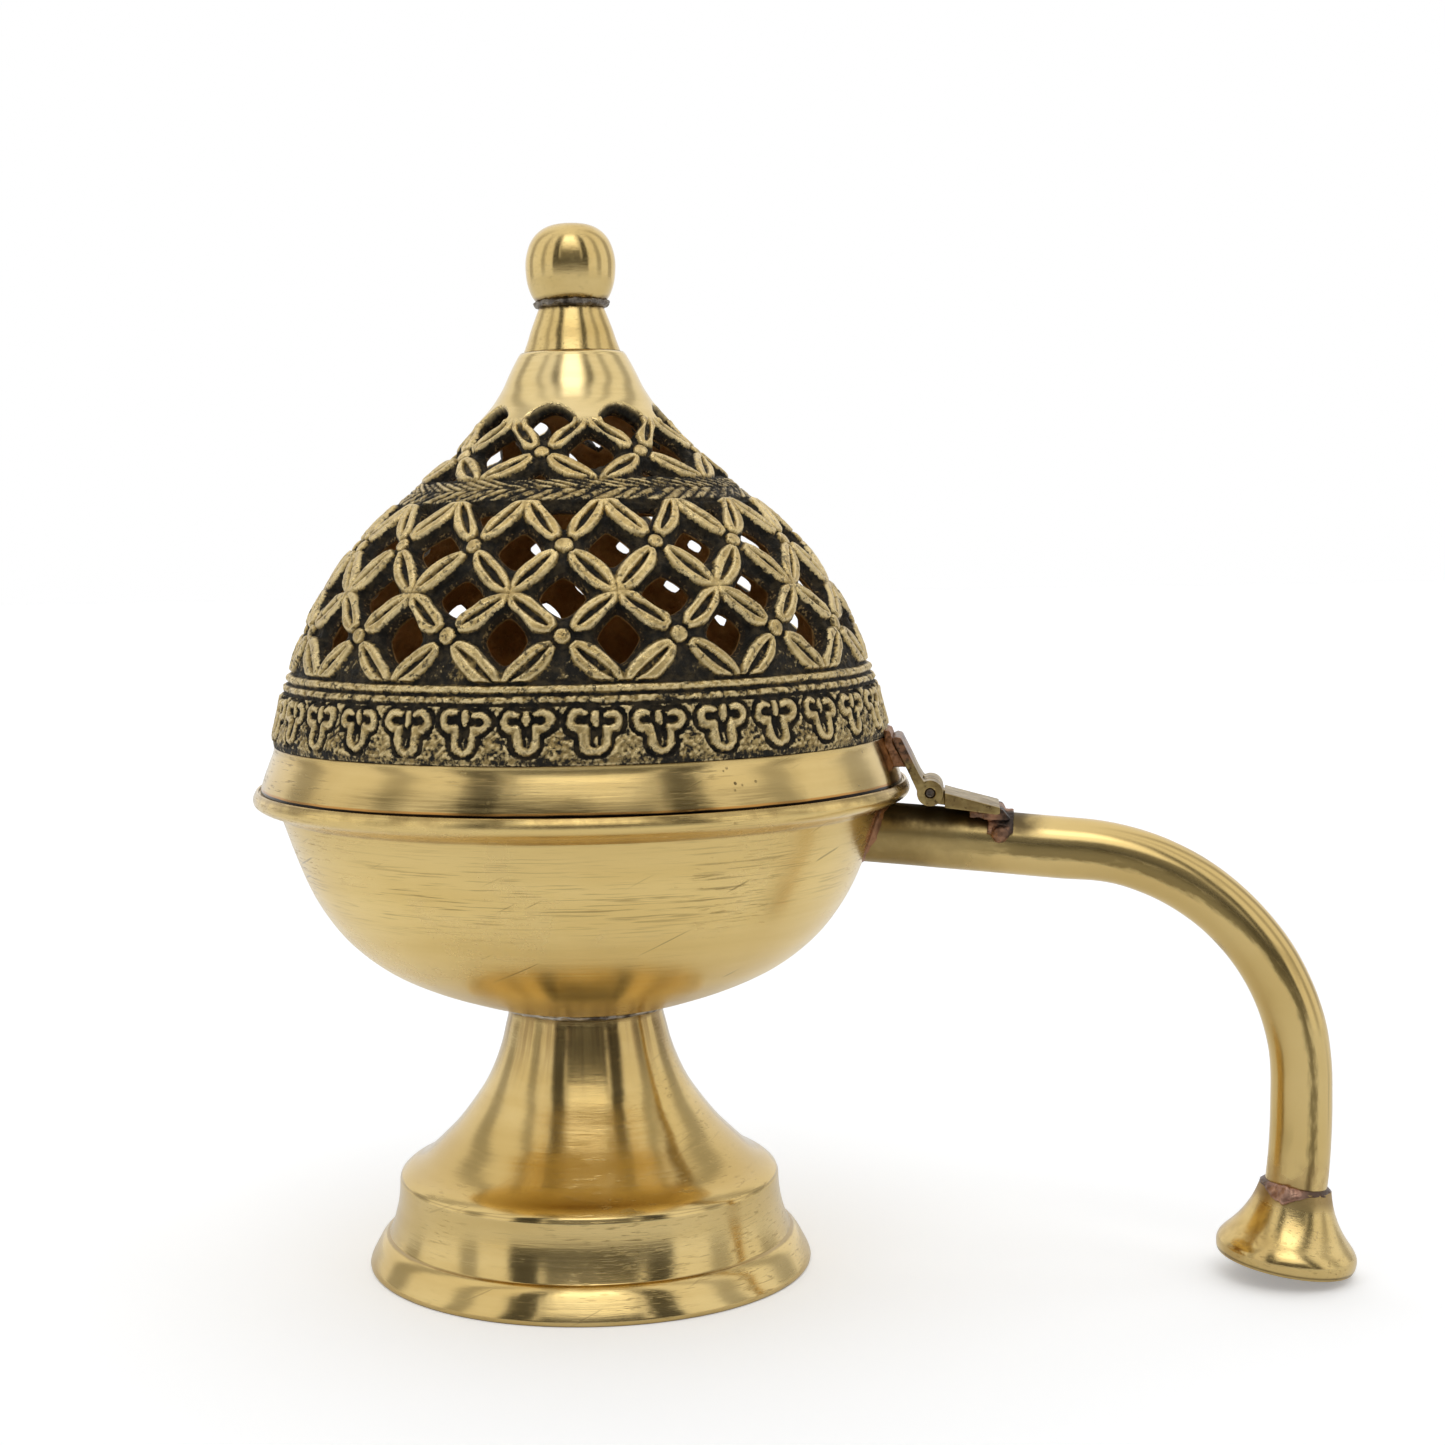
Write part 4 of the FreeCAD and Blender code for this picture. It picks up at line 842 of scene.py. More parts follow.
def leaf_material(name, copper_z=None):
    n = Nodes(name)
    obj = n.coord("Object")
    a = n.noise(obj, 240.0, 4.0, 0.6); b = n.noise(obj, 900.0, 3.0, 0.6); c = n.noise(n.scale(obj, (160.0, 900.0, 900.0)), 1.0, 2.0, 0.5)
    col = n.mix(n.range(a, 0.35, 0.65), (0.40, 0.295, 0.118), (0.255, 0.175, 0.068))
    col = n.mix(n.range(b, 0.54, 0.70), col, (0.115, 0.074, 0.030))
    geo = n.t.nodes.new("ShaderNodeNewGeometry")
    # painted highlight: lighter colour along the leaf's convex edges
    edge = n.range(geo.outputs["Pointiness"], 0.52, 0.60)
    col = n.mix(n.math("MULTIPLY", edge, 0.6), col, (0.62, 0.47, 0.22))
    ro = n.math("ADD", n.math("MULTIPLY", n.math("SUBTRACT", a, 0.5), 0.4), 0.36, None, True)
    if copper_z:
        m = n.range(n.math("ADD", n.sep(obj)[2], n.math("MULTIPLY", n.math("SUBTRACT", a, 0.5), 0.005)), copper_z[0] * K, copper_z[1] * K)
        col = n.mix(m, col, n.mix(n.range(b, 0.4, 0.62), (0.30, 0.155, 0.085), (0.085, 0.055, 0.038)))
    h = n.math("ADD", n.math("MULTIPLY", b, 0.6), n.math("MULTIPLY", c, 0.6))
    return n.final(col, ro, n.bump(h, 0.35, 0.0003))


put(remeshed("lid_hinge_leaf", "lid_hinge_leaf_worked", 0.11, 5, 0.05, 0.55, 51), "lid", "lid_hinge_leaf", leaf_material("lid_leaf_dull", (86.2, 88.6)))
put(remeshed("handle_hinge_leaf", "handle_hinge_leaf_worked", 0.11, 5, 0.05, 0.55, 53), "base", "handle_hinge_leaf", leaf_material("hinge_leaf_dull"))
put(remeshed("lid_leaf_braze", "lid_leaf_braze_fill", 0.12, 8, 0.26, 0.70, 55), "lid", "lid_leaf_braze", copper)
put(remeshed("hinge_leaf_braze", "hinge_leaf_braze_run", 0.12, 8, 0.24, 0.80, 57), "base", "hinge_leaf_braze",
    lumpy_metal("leaf_braze_copper", (0.47, 0.245, 0.140), (0.20, 0.110, 0.066), (0.050, 0.038, 0.032), 0.42, dark_at=(0.44, 0.60)))


def along_y(p):
    return np.stack([p[:, 0] + 59.50, p[:, 2], p[:, 1] + 81.75], -1)


pin_prof = join([spline([(0, -5.92), (0.45, -5.96), (0.62, -6.05)], 0.08), spline([(0.62, -6.05), (0.90, -5.85)], 0.08),
                 spline([(0.90, -5.85), (0.90, 5.85)], 0.3), spline([(0.90, 5.85), (0.62, 6.05)], 0.08),
                 spline([(0.62, 6.05), (0.45, 5.96), (0, 5.92)], 0.08)], 0.08)


def pin_material():
    n = Nodes("pin_steel_dark")
    obj = n.coord("Object")
    a = n.noise(obj, 900.0, 4.0, 0.6)
    col = n.mix(n.range(a, 0.35, 0.65), (0.060, 0.045, 0.035), (0.17, 0.145, 0.12))
    return n.final(col, n.math("ADD", n.math("MULTIPLY", a, 0.3), 0.22), n.bump(a, 0.5, 0.0002))


pin_ob = lathe("hinge_pin_rod", pin_prof, 72, 0.0, 0.1, 17, place=along_y)
pin_ob.data.flip_normals()
put(pin_ob, "lid", "hinge_pin", pin_material())

# ----------------------------------------------------------------- pierced dome
NC = 1152
DS = 0.225
WALL = 2.6
dome_curve = spline(DOME_OUT + [(12.50, 149.15), (11.75, 150.40), (10.40, 153.20), (9.00, 155.80)], 0.05)
arc = np.r_[0, np.cumsum(np.hypot(*np.diff(dome_curve, axis=0).T))]
S_END = arc[-1]


def S(z):
    return float(np.interp(z, dome_curve[:, 1], arc))


def RZ_at(s):
    return np.interp(s, arc, dome_curve[:, 0]), np.interp(s, arc, dome_curve[:, 1])


def normal_at(s):
    r0, z0 = RZ_at(s - 0.6); r1, z1 = RZ_at(s + 0.6)
    dr, dz = r1 - r0, z1 - z0
    m = np.hypot(dr, dz) + 1e-12
    return dz / m, -dr / m


def rr_of(s):
    return RZ_at(s)[0]


COL0 = math.radians(5.9)
ROSE0 = math.radians(39.65)
STEP16 = 2 * math.pi / 16
STEP8 = 2 * math.pi / 8


def wrap(d, step):
    return (d + step / 2) % step - step / 2


def smax(a, b, k):
    h = np.clip(0.5 + 0.5 * (a - b) / k, 0, 1)
    return b + (a - b) * h + k * h * (1 - h)


def smin(a, b, k):
    return -smax(-a, -b, k)


def wrap0(a):
    return (a + math.pi) % (2 * math.pi) - math.pi


rng = np.random.RandomState(7)
HOLES = []
for k in range(16):
    c = COL0 + STEP16 * k; m = c + STEP16 / 2
    for kind, ang, z, a, b in (("d", m, 110.65, 4.25, 4.72), ("d", c, 117.25, 4.60, 4.25), ("d", m, 124.75, 4.50, 4.45), ("t", c, 129.70, 3.75, 2.70)):
        j = rng.uniform(-1, 1, 5)
        tight = 1.045 - (0.120 if kind == "t" else 0.290) * math.exp(-(wrap0(ang - math.radians(67)) / math.radians(29)) ** 4)
        HOLES.append((kind, ang, S(z) + 0.18 * j[0], tight * a * (1 + 0.06 * j[1]), tight * b * (1 + 0.06 * j[2]), 0.16 * j[3], 1.28 + 0.12 * j[4]))
for k in range(8):
    c = ROSE0 + STEP8 * k; m = c + STEP8 / 2
    for kind, ang, z, a, b in (("d", m, 140.25, 4.55, 4.35), ("a", c, 144.25, 4.00, 3.0), ("l", c, 136.75, 2.9, 1.45)):
        j = rng.uniform(-1, 1, 5)
        HOLES.append((kind, ang, S(z) + 0.14 * j[0], a * (1 + 0.06 * j[1]), b * (1 + 0.05 * j[2]), 0.14 * j[3], 1.28 + 0.10 * j[4]))


def hole_field(th, s, shrink=0.0):
    """Distance outside the nearest opening's edge (negative inside), and that opening's number."""
    D = np.full(th.shape, 9.0); I = np.full(th.shape, -1, int)
    R = rr_of(s); shrink_all = shrink
    for i, (kind, ang, sc, a, b, off, p) in enumerate(HOLES):
        near = np.abs(s - sc) < 6.5
        d = wrap(th - ang, 2 * math.pi)
        near &= np.abs(d) * R < 7.5
        if not near.any():
            continue
        T = d[near] * rr_of(np.array([sc]))[0] + off; U = s[near] - sc
        zone = math.exp(-(wrap0(ang - math.radians(70)) / math.radians(31)) ** 4)
        shrink = shrink_all * (-0.35 if kind == "a" else 0.60 if kind in "tl" else 0.45 if sc > S(137) else 1.0 + 0.85 * zone)
        a_, b_ = a - shrink, b - shrink
        if kind == "d":
            e = 1e-6
            ta, ub = np.abs(T) / a_ + e, np.abs(U) / b_ + e
            rho = (ta ** p + ub ** p) ** (1 / p)
            g = rho ** (1 - p) * np.hypot(ta ** (p - 1) / a_, ub ** (p - 1) / b_)
            dd = (rho - 1) / np.maximum(g, 0.15)
        elif kind == "t":          # flat at the top, point at the bottom
            side = np.array([b * 1.9, -a]); side /= np.hypot(*side)
            c0 = side[0] * a + side[1] * b * 0.75
            dd = smax(side[0] * np.abs(T) + side[1] * U - c0 + shrink, U - b * 0.75 + shrink, 0.7)
        elif kind == "l":          # flat at the bottom, point at the top
            side = np.array([b * 2.0, a]); side /= np.hypot(*side)
            c0 = side[0] * a - side[1] * b * 0.8
            dd = smax(side[0] * np.abs(T) + side[1] * U - c0 + shrink, -U - b * 0.8 + shrink, 0.5)
        else:                      # arch: round head over a wide V
            v = (0.80 * np.abs(T) - U - 3.05) / 1.28 + shrink
            head = np.hypot(T, (U + 0.25) * 1.10) - a + shrink
            dd = smax(v, head, 0.9)
        cur = D[near]; take = dd < cur
        idx = np.where(near.ravel())[0][take.ravel() if take.ndim > 1 else take]
        D.ravel()[idx] = dd[take]; I.ravel()[idx] = i
    return D, I


def hash1(k, salt):
    x = np.sin(k * 12.9898 + salt * 78.233) * 43758.5453
    return x - np.floor(x)


def petals(th, s, zc, zlo, zhi, n, phase, width, boss, tall):
    """Height of one tier of four-petalled flowers; -9 where the tier has nothing."""
    step = 2 * math.pi / n
    sc, slo, shi = S(zc), S(zlo), S(zhi)
    inside = (s > slo - 1.2) & (s < shi + 1.2)
    out = np.full(th.shape, -9.0)
    if not inside.any():
        return out
    t_, s_ = th[inside], s[inside]
    d = wrap(t_ - phase, step); k = np.floor((t_ - phase + step / 2) / step)
    best = np.full(t_.shape, -9.0)
    for up in (True, False):
        sj = shi if up else slo
        rm = float(rr_of(np.array([(sc + sj) / 2]))[0])
        dT, dU = rm * step / 2, abs(sj - sc)
        L = math.hypot(dT, dU); ex, ey = dT / L, dU / L
        U = (s_ - sc) * (1 if up else -1)
        ident = k * 4 + (d > 0) * 2 + up
        f1, f2, f3 = hash1(ident, 1.0 + zc), hash1(ident, 2.0 + zc), hash1(ident, 3.0 + zc)
        T = rm * np.abs(d)
        l = T * ex + U * ey; v = T * ey - U * ex + (f3 - 0.5) * 0.16
        l0, l1 = boss - 0.05, L + 0.10
        t = (l - l0) / (l1 - l0)
        tt = np.clip(t, 0, 1)
        shape = np.clip(1 - np.abs(2 * tt ** 0.94 - 1) ** 2.3, 0, 1) ** 0.72
        w = width * (0.93 + 0.15 * f1) * shape
        e = np.where((t > 0) & (t < 1), w - np.abs(v), -2.0)
        body = sstep(-0.06, 0.62, e) * tall
        tg = np.clip((tt - 0.13) / 0.74, 0, 1)
        gw = (0.74 + 0.24 * (f2 - 0.5)) * np.clip(1 - (2 * tg - 1) ** 2, 0, 1) ** 0.75
        groove = np.where(gw > 0.05, sstep(1.0, 0.35, np.abs(v) / np.maximum(gw, 0.05)), 0)
        h = np.where(e > -0.06, body - (tall + 0.16) * groove * sstep(0, 0.3, e), -9.0)
        best = np.maximum(best, h)
    # boss with a ring groove
    rc = float(rr_of(np.array([sc]))[0])
    rho = np.hypot(rc * d, s_ - sc)
    bh = (0.16 + 0.52 * np.sqrt(np.clip(1 - (rho / (boss * 1.06)) ** 2, 0, 1))) * tall / 0.6
    best = np.where(rho < boss, bh, best)
    ringm = (rho >= boss) & (rho < boss + 0.60)
    best = np.where(ringm, np.minimum(best, -0.10 - 0.22 * np.sin(np.clip((rho - boss) / 0.60, 0, 1) * math.pi)), best)
    best = np.where(ringm & (best < -5), -0.3, best)
    out[inside] = best
    return out


def relief(th, s):
    """Height above the plain surface in millimetres, plus the mask of the plain turned crown."""
    R, Z = RZ_at(s)
    P = np.stack([R * np.cos(th), R * np.sin(th), Z], -1).reshape(-1, 3)
    n1 = fbm(P * 0.16, 2, 61).reshape(th.shape); n2 = fbm(P * 0.16 + 40, 2, 62).reshape(th.shape)
    n3 = fbm(P * 0.75, 3, 63).reshape(th.shape); n4 = fbm(P * 2.1, 2, 64).reshape(th.shape)
    D, I = hole_field(th, s)
    tw = th + n1 * 0.42 / np.maximum(R, 5); sw = s + n2 * 0.36
    # lattice ground with the slope into each opening
    edge = D + n3 * 0.22
    rough_tri = sstep(S(103.6), S(104.6), s) * sstep(S(108.4), S(106.8), s)
    h = -0.34 + n3 * 0.10 + rough_tri * (0.26 + 0.22 * n4) - 0.80 * sstep(0.80, -0.05, edge)
    zone_lat = (Z > 103.2) & (Z < 131.6)
    pc = petals(tw, sw, 110.65, 102.9, 117.25, 16, COL0, 2.38, 1.36, 0.66)
    pb = petals(tw, sw, 124.75, 117.25, 131.9, 16, COL0, 2.26, 1.32, 0.64)
    pa = petals(tw, sw, 139.60, 134.9, 145.3, 8, ROSE0, 2.18, 1.30, 0.52)
    pet = np.maximum(np.maximum(pc, pb), pa)
    # petals give way where an opening bites into them
    pet = np.where(pet > -5, pet - 0.9 * sstep(0.35, -0.1, D), -9)
    soft = 0.16
    h = np.where(pet > -5, smax(h, pet, soft), h)
    # ---- plain crown and the webs that run down between the arches
    arch_lip = np.zeros_like(h); crown = np.zeros_like(h)
    dmid = wrap(th - ROSE0 - STEP8 / 2, STEP8); drose = wrap(th - ROSE0, STEP8)
    r144 = float(rr_of(np.array([S(144.25)]))[0])
    Ta = drose * r144; Ua = s - S(144.25)
    head = np.hypot(Ta, (Ua + 0.25) * 1.10) - 3.75
    up_zone = sstep(S(144.6), S(146.4), s + n3 * 0.3)
    web = sstep(S(143.4), S(145.0), s) * sstep(0.7, 1.3, head)
    crown = np.maximum(up_zone * sstep(0.55, 1.15, head), web)
    lip = np.exp(-((head - 0.62 - 0.12 * n3) / 0.30) ** 2) * sstep(S(142.9), S(143.9), s) * (0.75 + 0.4 * np.sin(np.arctan2(Ua, Ta) * 15 + n3 * 2))
    h = h * (1 - crown) + crown * 0.20
    h = h + 0.34 * lip
    # ---- herringbone ring
    z0, z1, zs = 131.7, 135.15, 133.6
    ss0 = S(zs)
    rb = float(rr_of(np.array([ss0]))[0])
    Tb = th * rb; Ub = sw - ss0
    pitch = 2 * math.pi * rb / 64
    up = Ub > 0
    lean = np.where(up, 2.9, 1.55)
    ph = (Tb + np.abs(Ub) * lean) / pitch + n1 * 0.15
    kk = np.floor(ph); fr = ph - kk
    stroke = np.clip(np.sin(np.pi * np.clip(fr * 1.02, 0, 1)), 0, 1) ** 0.55
    amp = 0.42 * (0.75 + 0.5 * hash1(kk, 5.0)) * (0.92 + 0.25 * n3)
    hb = -0.22 + stroke * amp - 0.18 * np.exp(-(Ub / 0.20) ** 2)
    lim_u = S(z1) - ss0; lim_d = ss0 - S(z0)
    band = sstep(lim_u + 0.25, lim_u - 0.25, Ub) * sstep(-lim_d - 0.25, -lim_d + 0.25, Ub)
    rim_groove = np.exp(-((Ub - lim_u - 0.15) / 0.28) ** 2) + np.exp(-((Ub + lim_d + 0.15) / 0.28) ** 2)
    h = h * (1 - band) + band * hb
    h = h - 0.28 * rim_groove * (1 - crown) * np.clip(D / 0.8, 0, 1)
    # ---- ridge band under the flowers
    S1, S2, S3 = S(102.75), S(100.55), S(103.5)
    u = s + n2 * 0.10
    rib = 0.62 * np.exp(-(np.abs(u - S1) / 0.62) ** 4) * (0.9 + 0.2 * n3)
    dash = sstep(-0.25, 0.35, np.sin(th * 78 + n1 * 5 + np.sin(th * 13) * 2) + n3 * 0.8)
    low = 0.42 * np.exp(-(np.abs(u - (S(101.15) + 0.12 * n1)) / 0.52) ** 4) * (0.45 + 0.55 * dash)
    mid_line = -0.30 * np.exp(-((u - S(101.95)) / 0.22) ** 2)
    under = -0.50 * np.exp(-((u - S(100.25)) / 0.26) ** 2)
    top_line = -0.38 * np.exp(-((u - S(103.55)) / 0.30) ** 2)
    zone = sstep(S3 + 0.6, S3 + 0.1, u) * sstep(S(99.95) - 0.1, S(99.95) + 0.3, u)
    h = h * (1 - zone) + zone * (0.02 + rib + low + mid_line + under + n4 * 0.11 + n3 * 0.06) + top_line * (1 - zone * 0.3) * np.clip(D / 0.8, 0, 1) * (s < S(104.6))
    # ---- leaf frieze
    fr_zone = sstep(S(100.15) + 0.15, S(100.15) - 0.25, s)
    sp = 2 * math.pi / 32
    dp = wrap(tw - COL0 - sp / 2, sp); kp = np.floor((tw - COL0) / sp)
    rp = float(rr_of(np.array([S(96.4)]))[0])
    X = dp * rp; Y = (sw - S(96.05))
    X = X + (hash1(kp, 9.0) - 0.5) * 0.35 + n3 * 0.22 + n1 * 0.15; Y = Y + (hash1(kp, 11.0) - 0.5) * 0.25 + n4 * 0.16 + n2 * 0.12
    aX = np.abs(X)
    lobe = np.hypot(aX - 2.45, Y - 1.80) - 1.88
    foot_l = np.hypot(X / 1.02, np.where(Y > -1.4, 0, Y + 1.4) / 0.98) - 2.22
    foot_l = np.where(Y > 1.5, np.hypot(X, Y - 1.5) - 2.0, foot_l)
    outline = smin(lobe, foot_l, 0.35)
    cap1 = np.hypot(np.maximum(aX - 2.35, 0), Y - 1.85) - 0.47
    slot_w = 0.74 - 0.10 * np.clip(-Y, 0, 2)
    cap2 = np.hypot(X, np.where(Y < -1.75, Y + 1.75, np.where(Y > 1.9, Y - 1.9, 0))) - slot_w
    inner = smin(cap1, cap2, 0.25)
    ribbon = np.minimum(-outline, inner)
    hr = 0.10 + 0.42 * sstep(-0.02, 0.55, ribbon)
    deep_in = -0.52 + 0.08 * n3
    leaf = np.where(ribbon > -0.02, hr, deep_in)
    budd = np.hypot(X / 0.74, (Y - 2.25) / 1.45) - 1.0
    leaf = np.where(budd < 0, 0.08 + 0.44 * np.sqrt(np.clip(-budd, 0, 1)), np.where((budd < 0.46) & (Y > 0.7), -0.50, leaf))
    vein = np.hypot(X / 0.34, (Y + 1.45) / 1.05) - 1.0
    leaf = np.where(vein < 0, -0.10 + 0.36 * np.sqrt(np.clip(-vein, 0, 1)), leaf)
    ground = 0.22 + n4 * 0.26 + n3 * 0.06
    outer_groove = sstep(-0.02, 0.14, outline) * sstep(0.74, 0.46, outline + n3 * 0.20)
    fz = np.where(outline < 0, leaf, ground * (1 - outer_groove) + outer_groove * -0.50)
    bottom = sstep(S(92.35) + 0.15, S(92.35) - 0.25, s + n3 * 0.15)
    fz = fz * (1 - bottom) + bottom * (0.08 + n4 * 0.06)
    fz = np.where(s < 0.45, np.minimum(fz, 0.16 * sstep(0.0, 0.4, s) + 0.02), fz)
    h = h * (1 - fr_zone) + fr_zone * fz
    # hand-worked and cast unevenness, none on the turned crown
    rough = (n3 * 0.055 + n4 * 0.050) * (1 - crown)
    h = h + rough
    h = np.minimum(h, 0.72)
    return h, crown, D


def chain(edges):
    """Loops of vertices from directed boundary edges (a, b)."""
    nxt = {}
    for a, b in edges:
        nxt.setdefault(int(a), []).append(int(b))
    loops = []
    while nxt:
        start = next(iter(nxt)); cur = start; loop = []
        while cur in nxt:
            loop.append(cur)
            o = nxt[cur]; n_ = o.pop()
            if not o:
                del nxt[cur]
            cur = n_
            if cur == start:
                break
        loops.append(loop)
    return loops


def pierced_grid(s_rows, ncols, shrink):
    """Grid round the dome with its openings cut, grid points beside each edge pulled on to the edge."""
    th0 = np.arange(ncols) * 2 * math.pi / ncols
    TH, SS = np.meshgrid(th0, s_rows)
    TH = TH.copy(); SS = SS.copy()
    D, _ = hole_field(TH, SS, shrink)
    D0 = D.copy()
    best = np.full(D.shape, 9.0); nth = TH.copy(); ns = SS.copy(); snapped = np.zeros(D.shape, bool)
    dth = 2 * math.pi / ncols

    def request(Da, Db, ia, ja, ib, jb, dT, dS_):
        t = Da / (Da - Db)
        first = t < 0.5
        for sel, i, j, frac, sign in ((first, ia, ja, t, 1), (~first, ib, jb, 1 - t, -1)):
            ii, jj, ff = i[sel], j[sel], frac[sel]
            dt_ = dT[sel] if np.ndim(dT) else dT; ds_ = dS_[sel] if np.ndim(dS_) else dS_
            ok = ff < best[ii, jj]
            order = np.argsort(-ff)
            for arr_ok in (order,):
                ii2, jj2, ff2 = ii[arr_ok], jj[arr_ok], ff[arr_ok]
                d1 = (dt_[arr_ok] if np.ndim(dt_) else np.full(len(ii2), dt_)); d2 = (ds_[arr_ok] if np.ndim(ds_) else np.full(len(ii2), ds_))
                good = ff2 < best[ii2, jj2]
                ii2, jj2, ff2, d1, d2 = ii2[good], jj2[good], ff2[good], d1[good], d2[good]
                best[ii2, jj2] = ff2
                nth[ii2, jj2] = TH[ii2, jj2] + sign * ff2 * d1
                ns[ii2, jj2] = SS[ii2, jj2] + sign * ff2 * d2
                snapped[ii2, jj2] = True
    jn = (np.arange(ncols) + 1) % ncols
    i, j = np.where((D > 0) != (D[:, jn] > 0))
    request(D[i, j], D[i, jn[j]], i, j, i, jn[j], dth, 0.0)
    i, j = np.where((D[:-1] > 0) != (D[1:] > 0))
    request(D[i, j], D[i + 1, j], i, j, i + 1, j, 0.0, (s_rows[i + 1] - s_rows[i]))
    state = np.where(snapped, 0, np.where(D > 0, 1, -1)).astype(int)
    nrow = len(s_rows)
    q = grid_faces(nrow, ncols)
    st = state.ravel()[q]; neg = (st < 0).sum(1); zero = (st == 0).sum(1)
    dm = D0.ravel()[q].mean(1)
    keep = (neg == 0) & ((zero < 4) | (dm > 0))
    quads = q[keep]
    tris = []
    one = np.where(neg == 1)[0]
    for f in one:
        row = q[f]; k = int(np.where(st[f] < 0)[0][0])
        tri = [row[(k + 1) % 4], row[(k + 2) % 4], row[(k + 3) % 4]]
        ss = [st[f][(k + i_) % 4] for i_ in (1, 2, 3)]
        if max(ss) > 0 or D0.ravel()[tri].mean() > 0:
            tris.append(tri)
    tris = np.array(tris, int).reshape(-1, 3)
    # border: edges used by one face only, round each opening and the ends
    e = np.vstack([np.c_[quads[:, a], quads[:, b]] for a, b in ((0, 1), (1, 2), (2, 3), (3, 0))] +
                  [np.c_[tris[:, a], tris[:, b]] for a, b in ((0, 1), (1, 2), (2, 0))])
    big = np.int64(nrow * ncols)
    key = e[:, 0].astype(np.int64) * big + e[:, 1]; rev = e[:, 1].astype(np.int64) * big + e[:, 0]
    border = e[~np.isin(key, rev)]
    return nth, ns, quads, tris, border


def zip_loops(A, B, ta, tb):
    """Triangles between two closed loops; ta, tb rise from 0 to 1 round each. Uses A in direction b->a."""
    tri = []; i = j = 0; na, nb = len(A), len(B)
    ta = list(ta) + [1.0]; tb = list(tb) + [1.0]
    while i < na or j < nb:
        if j >= nb or (i < na and ta[i + 1] <= tb[j + 1]):
            tri.append((A[(i + 1) % na], A[i], B[j % nb])); i += 1
        else:
            tri.append((B[j % nb], B[(j + 1) % nb], A[i % na])); j += 1
    return tri


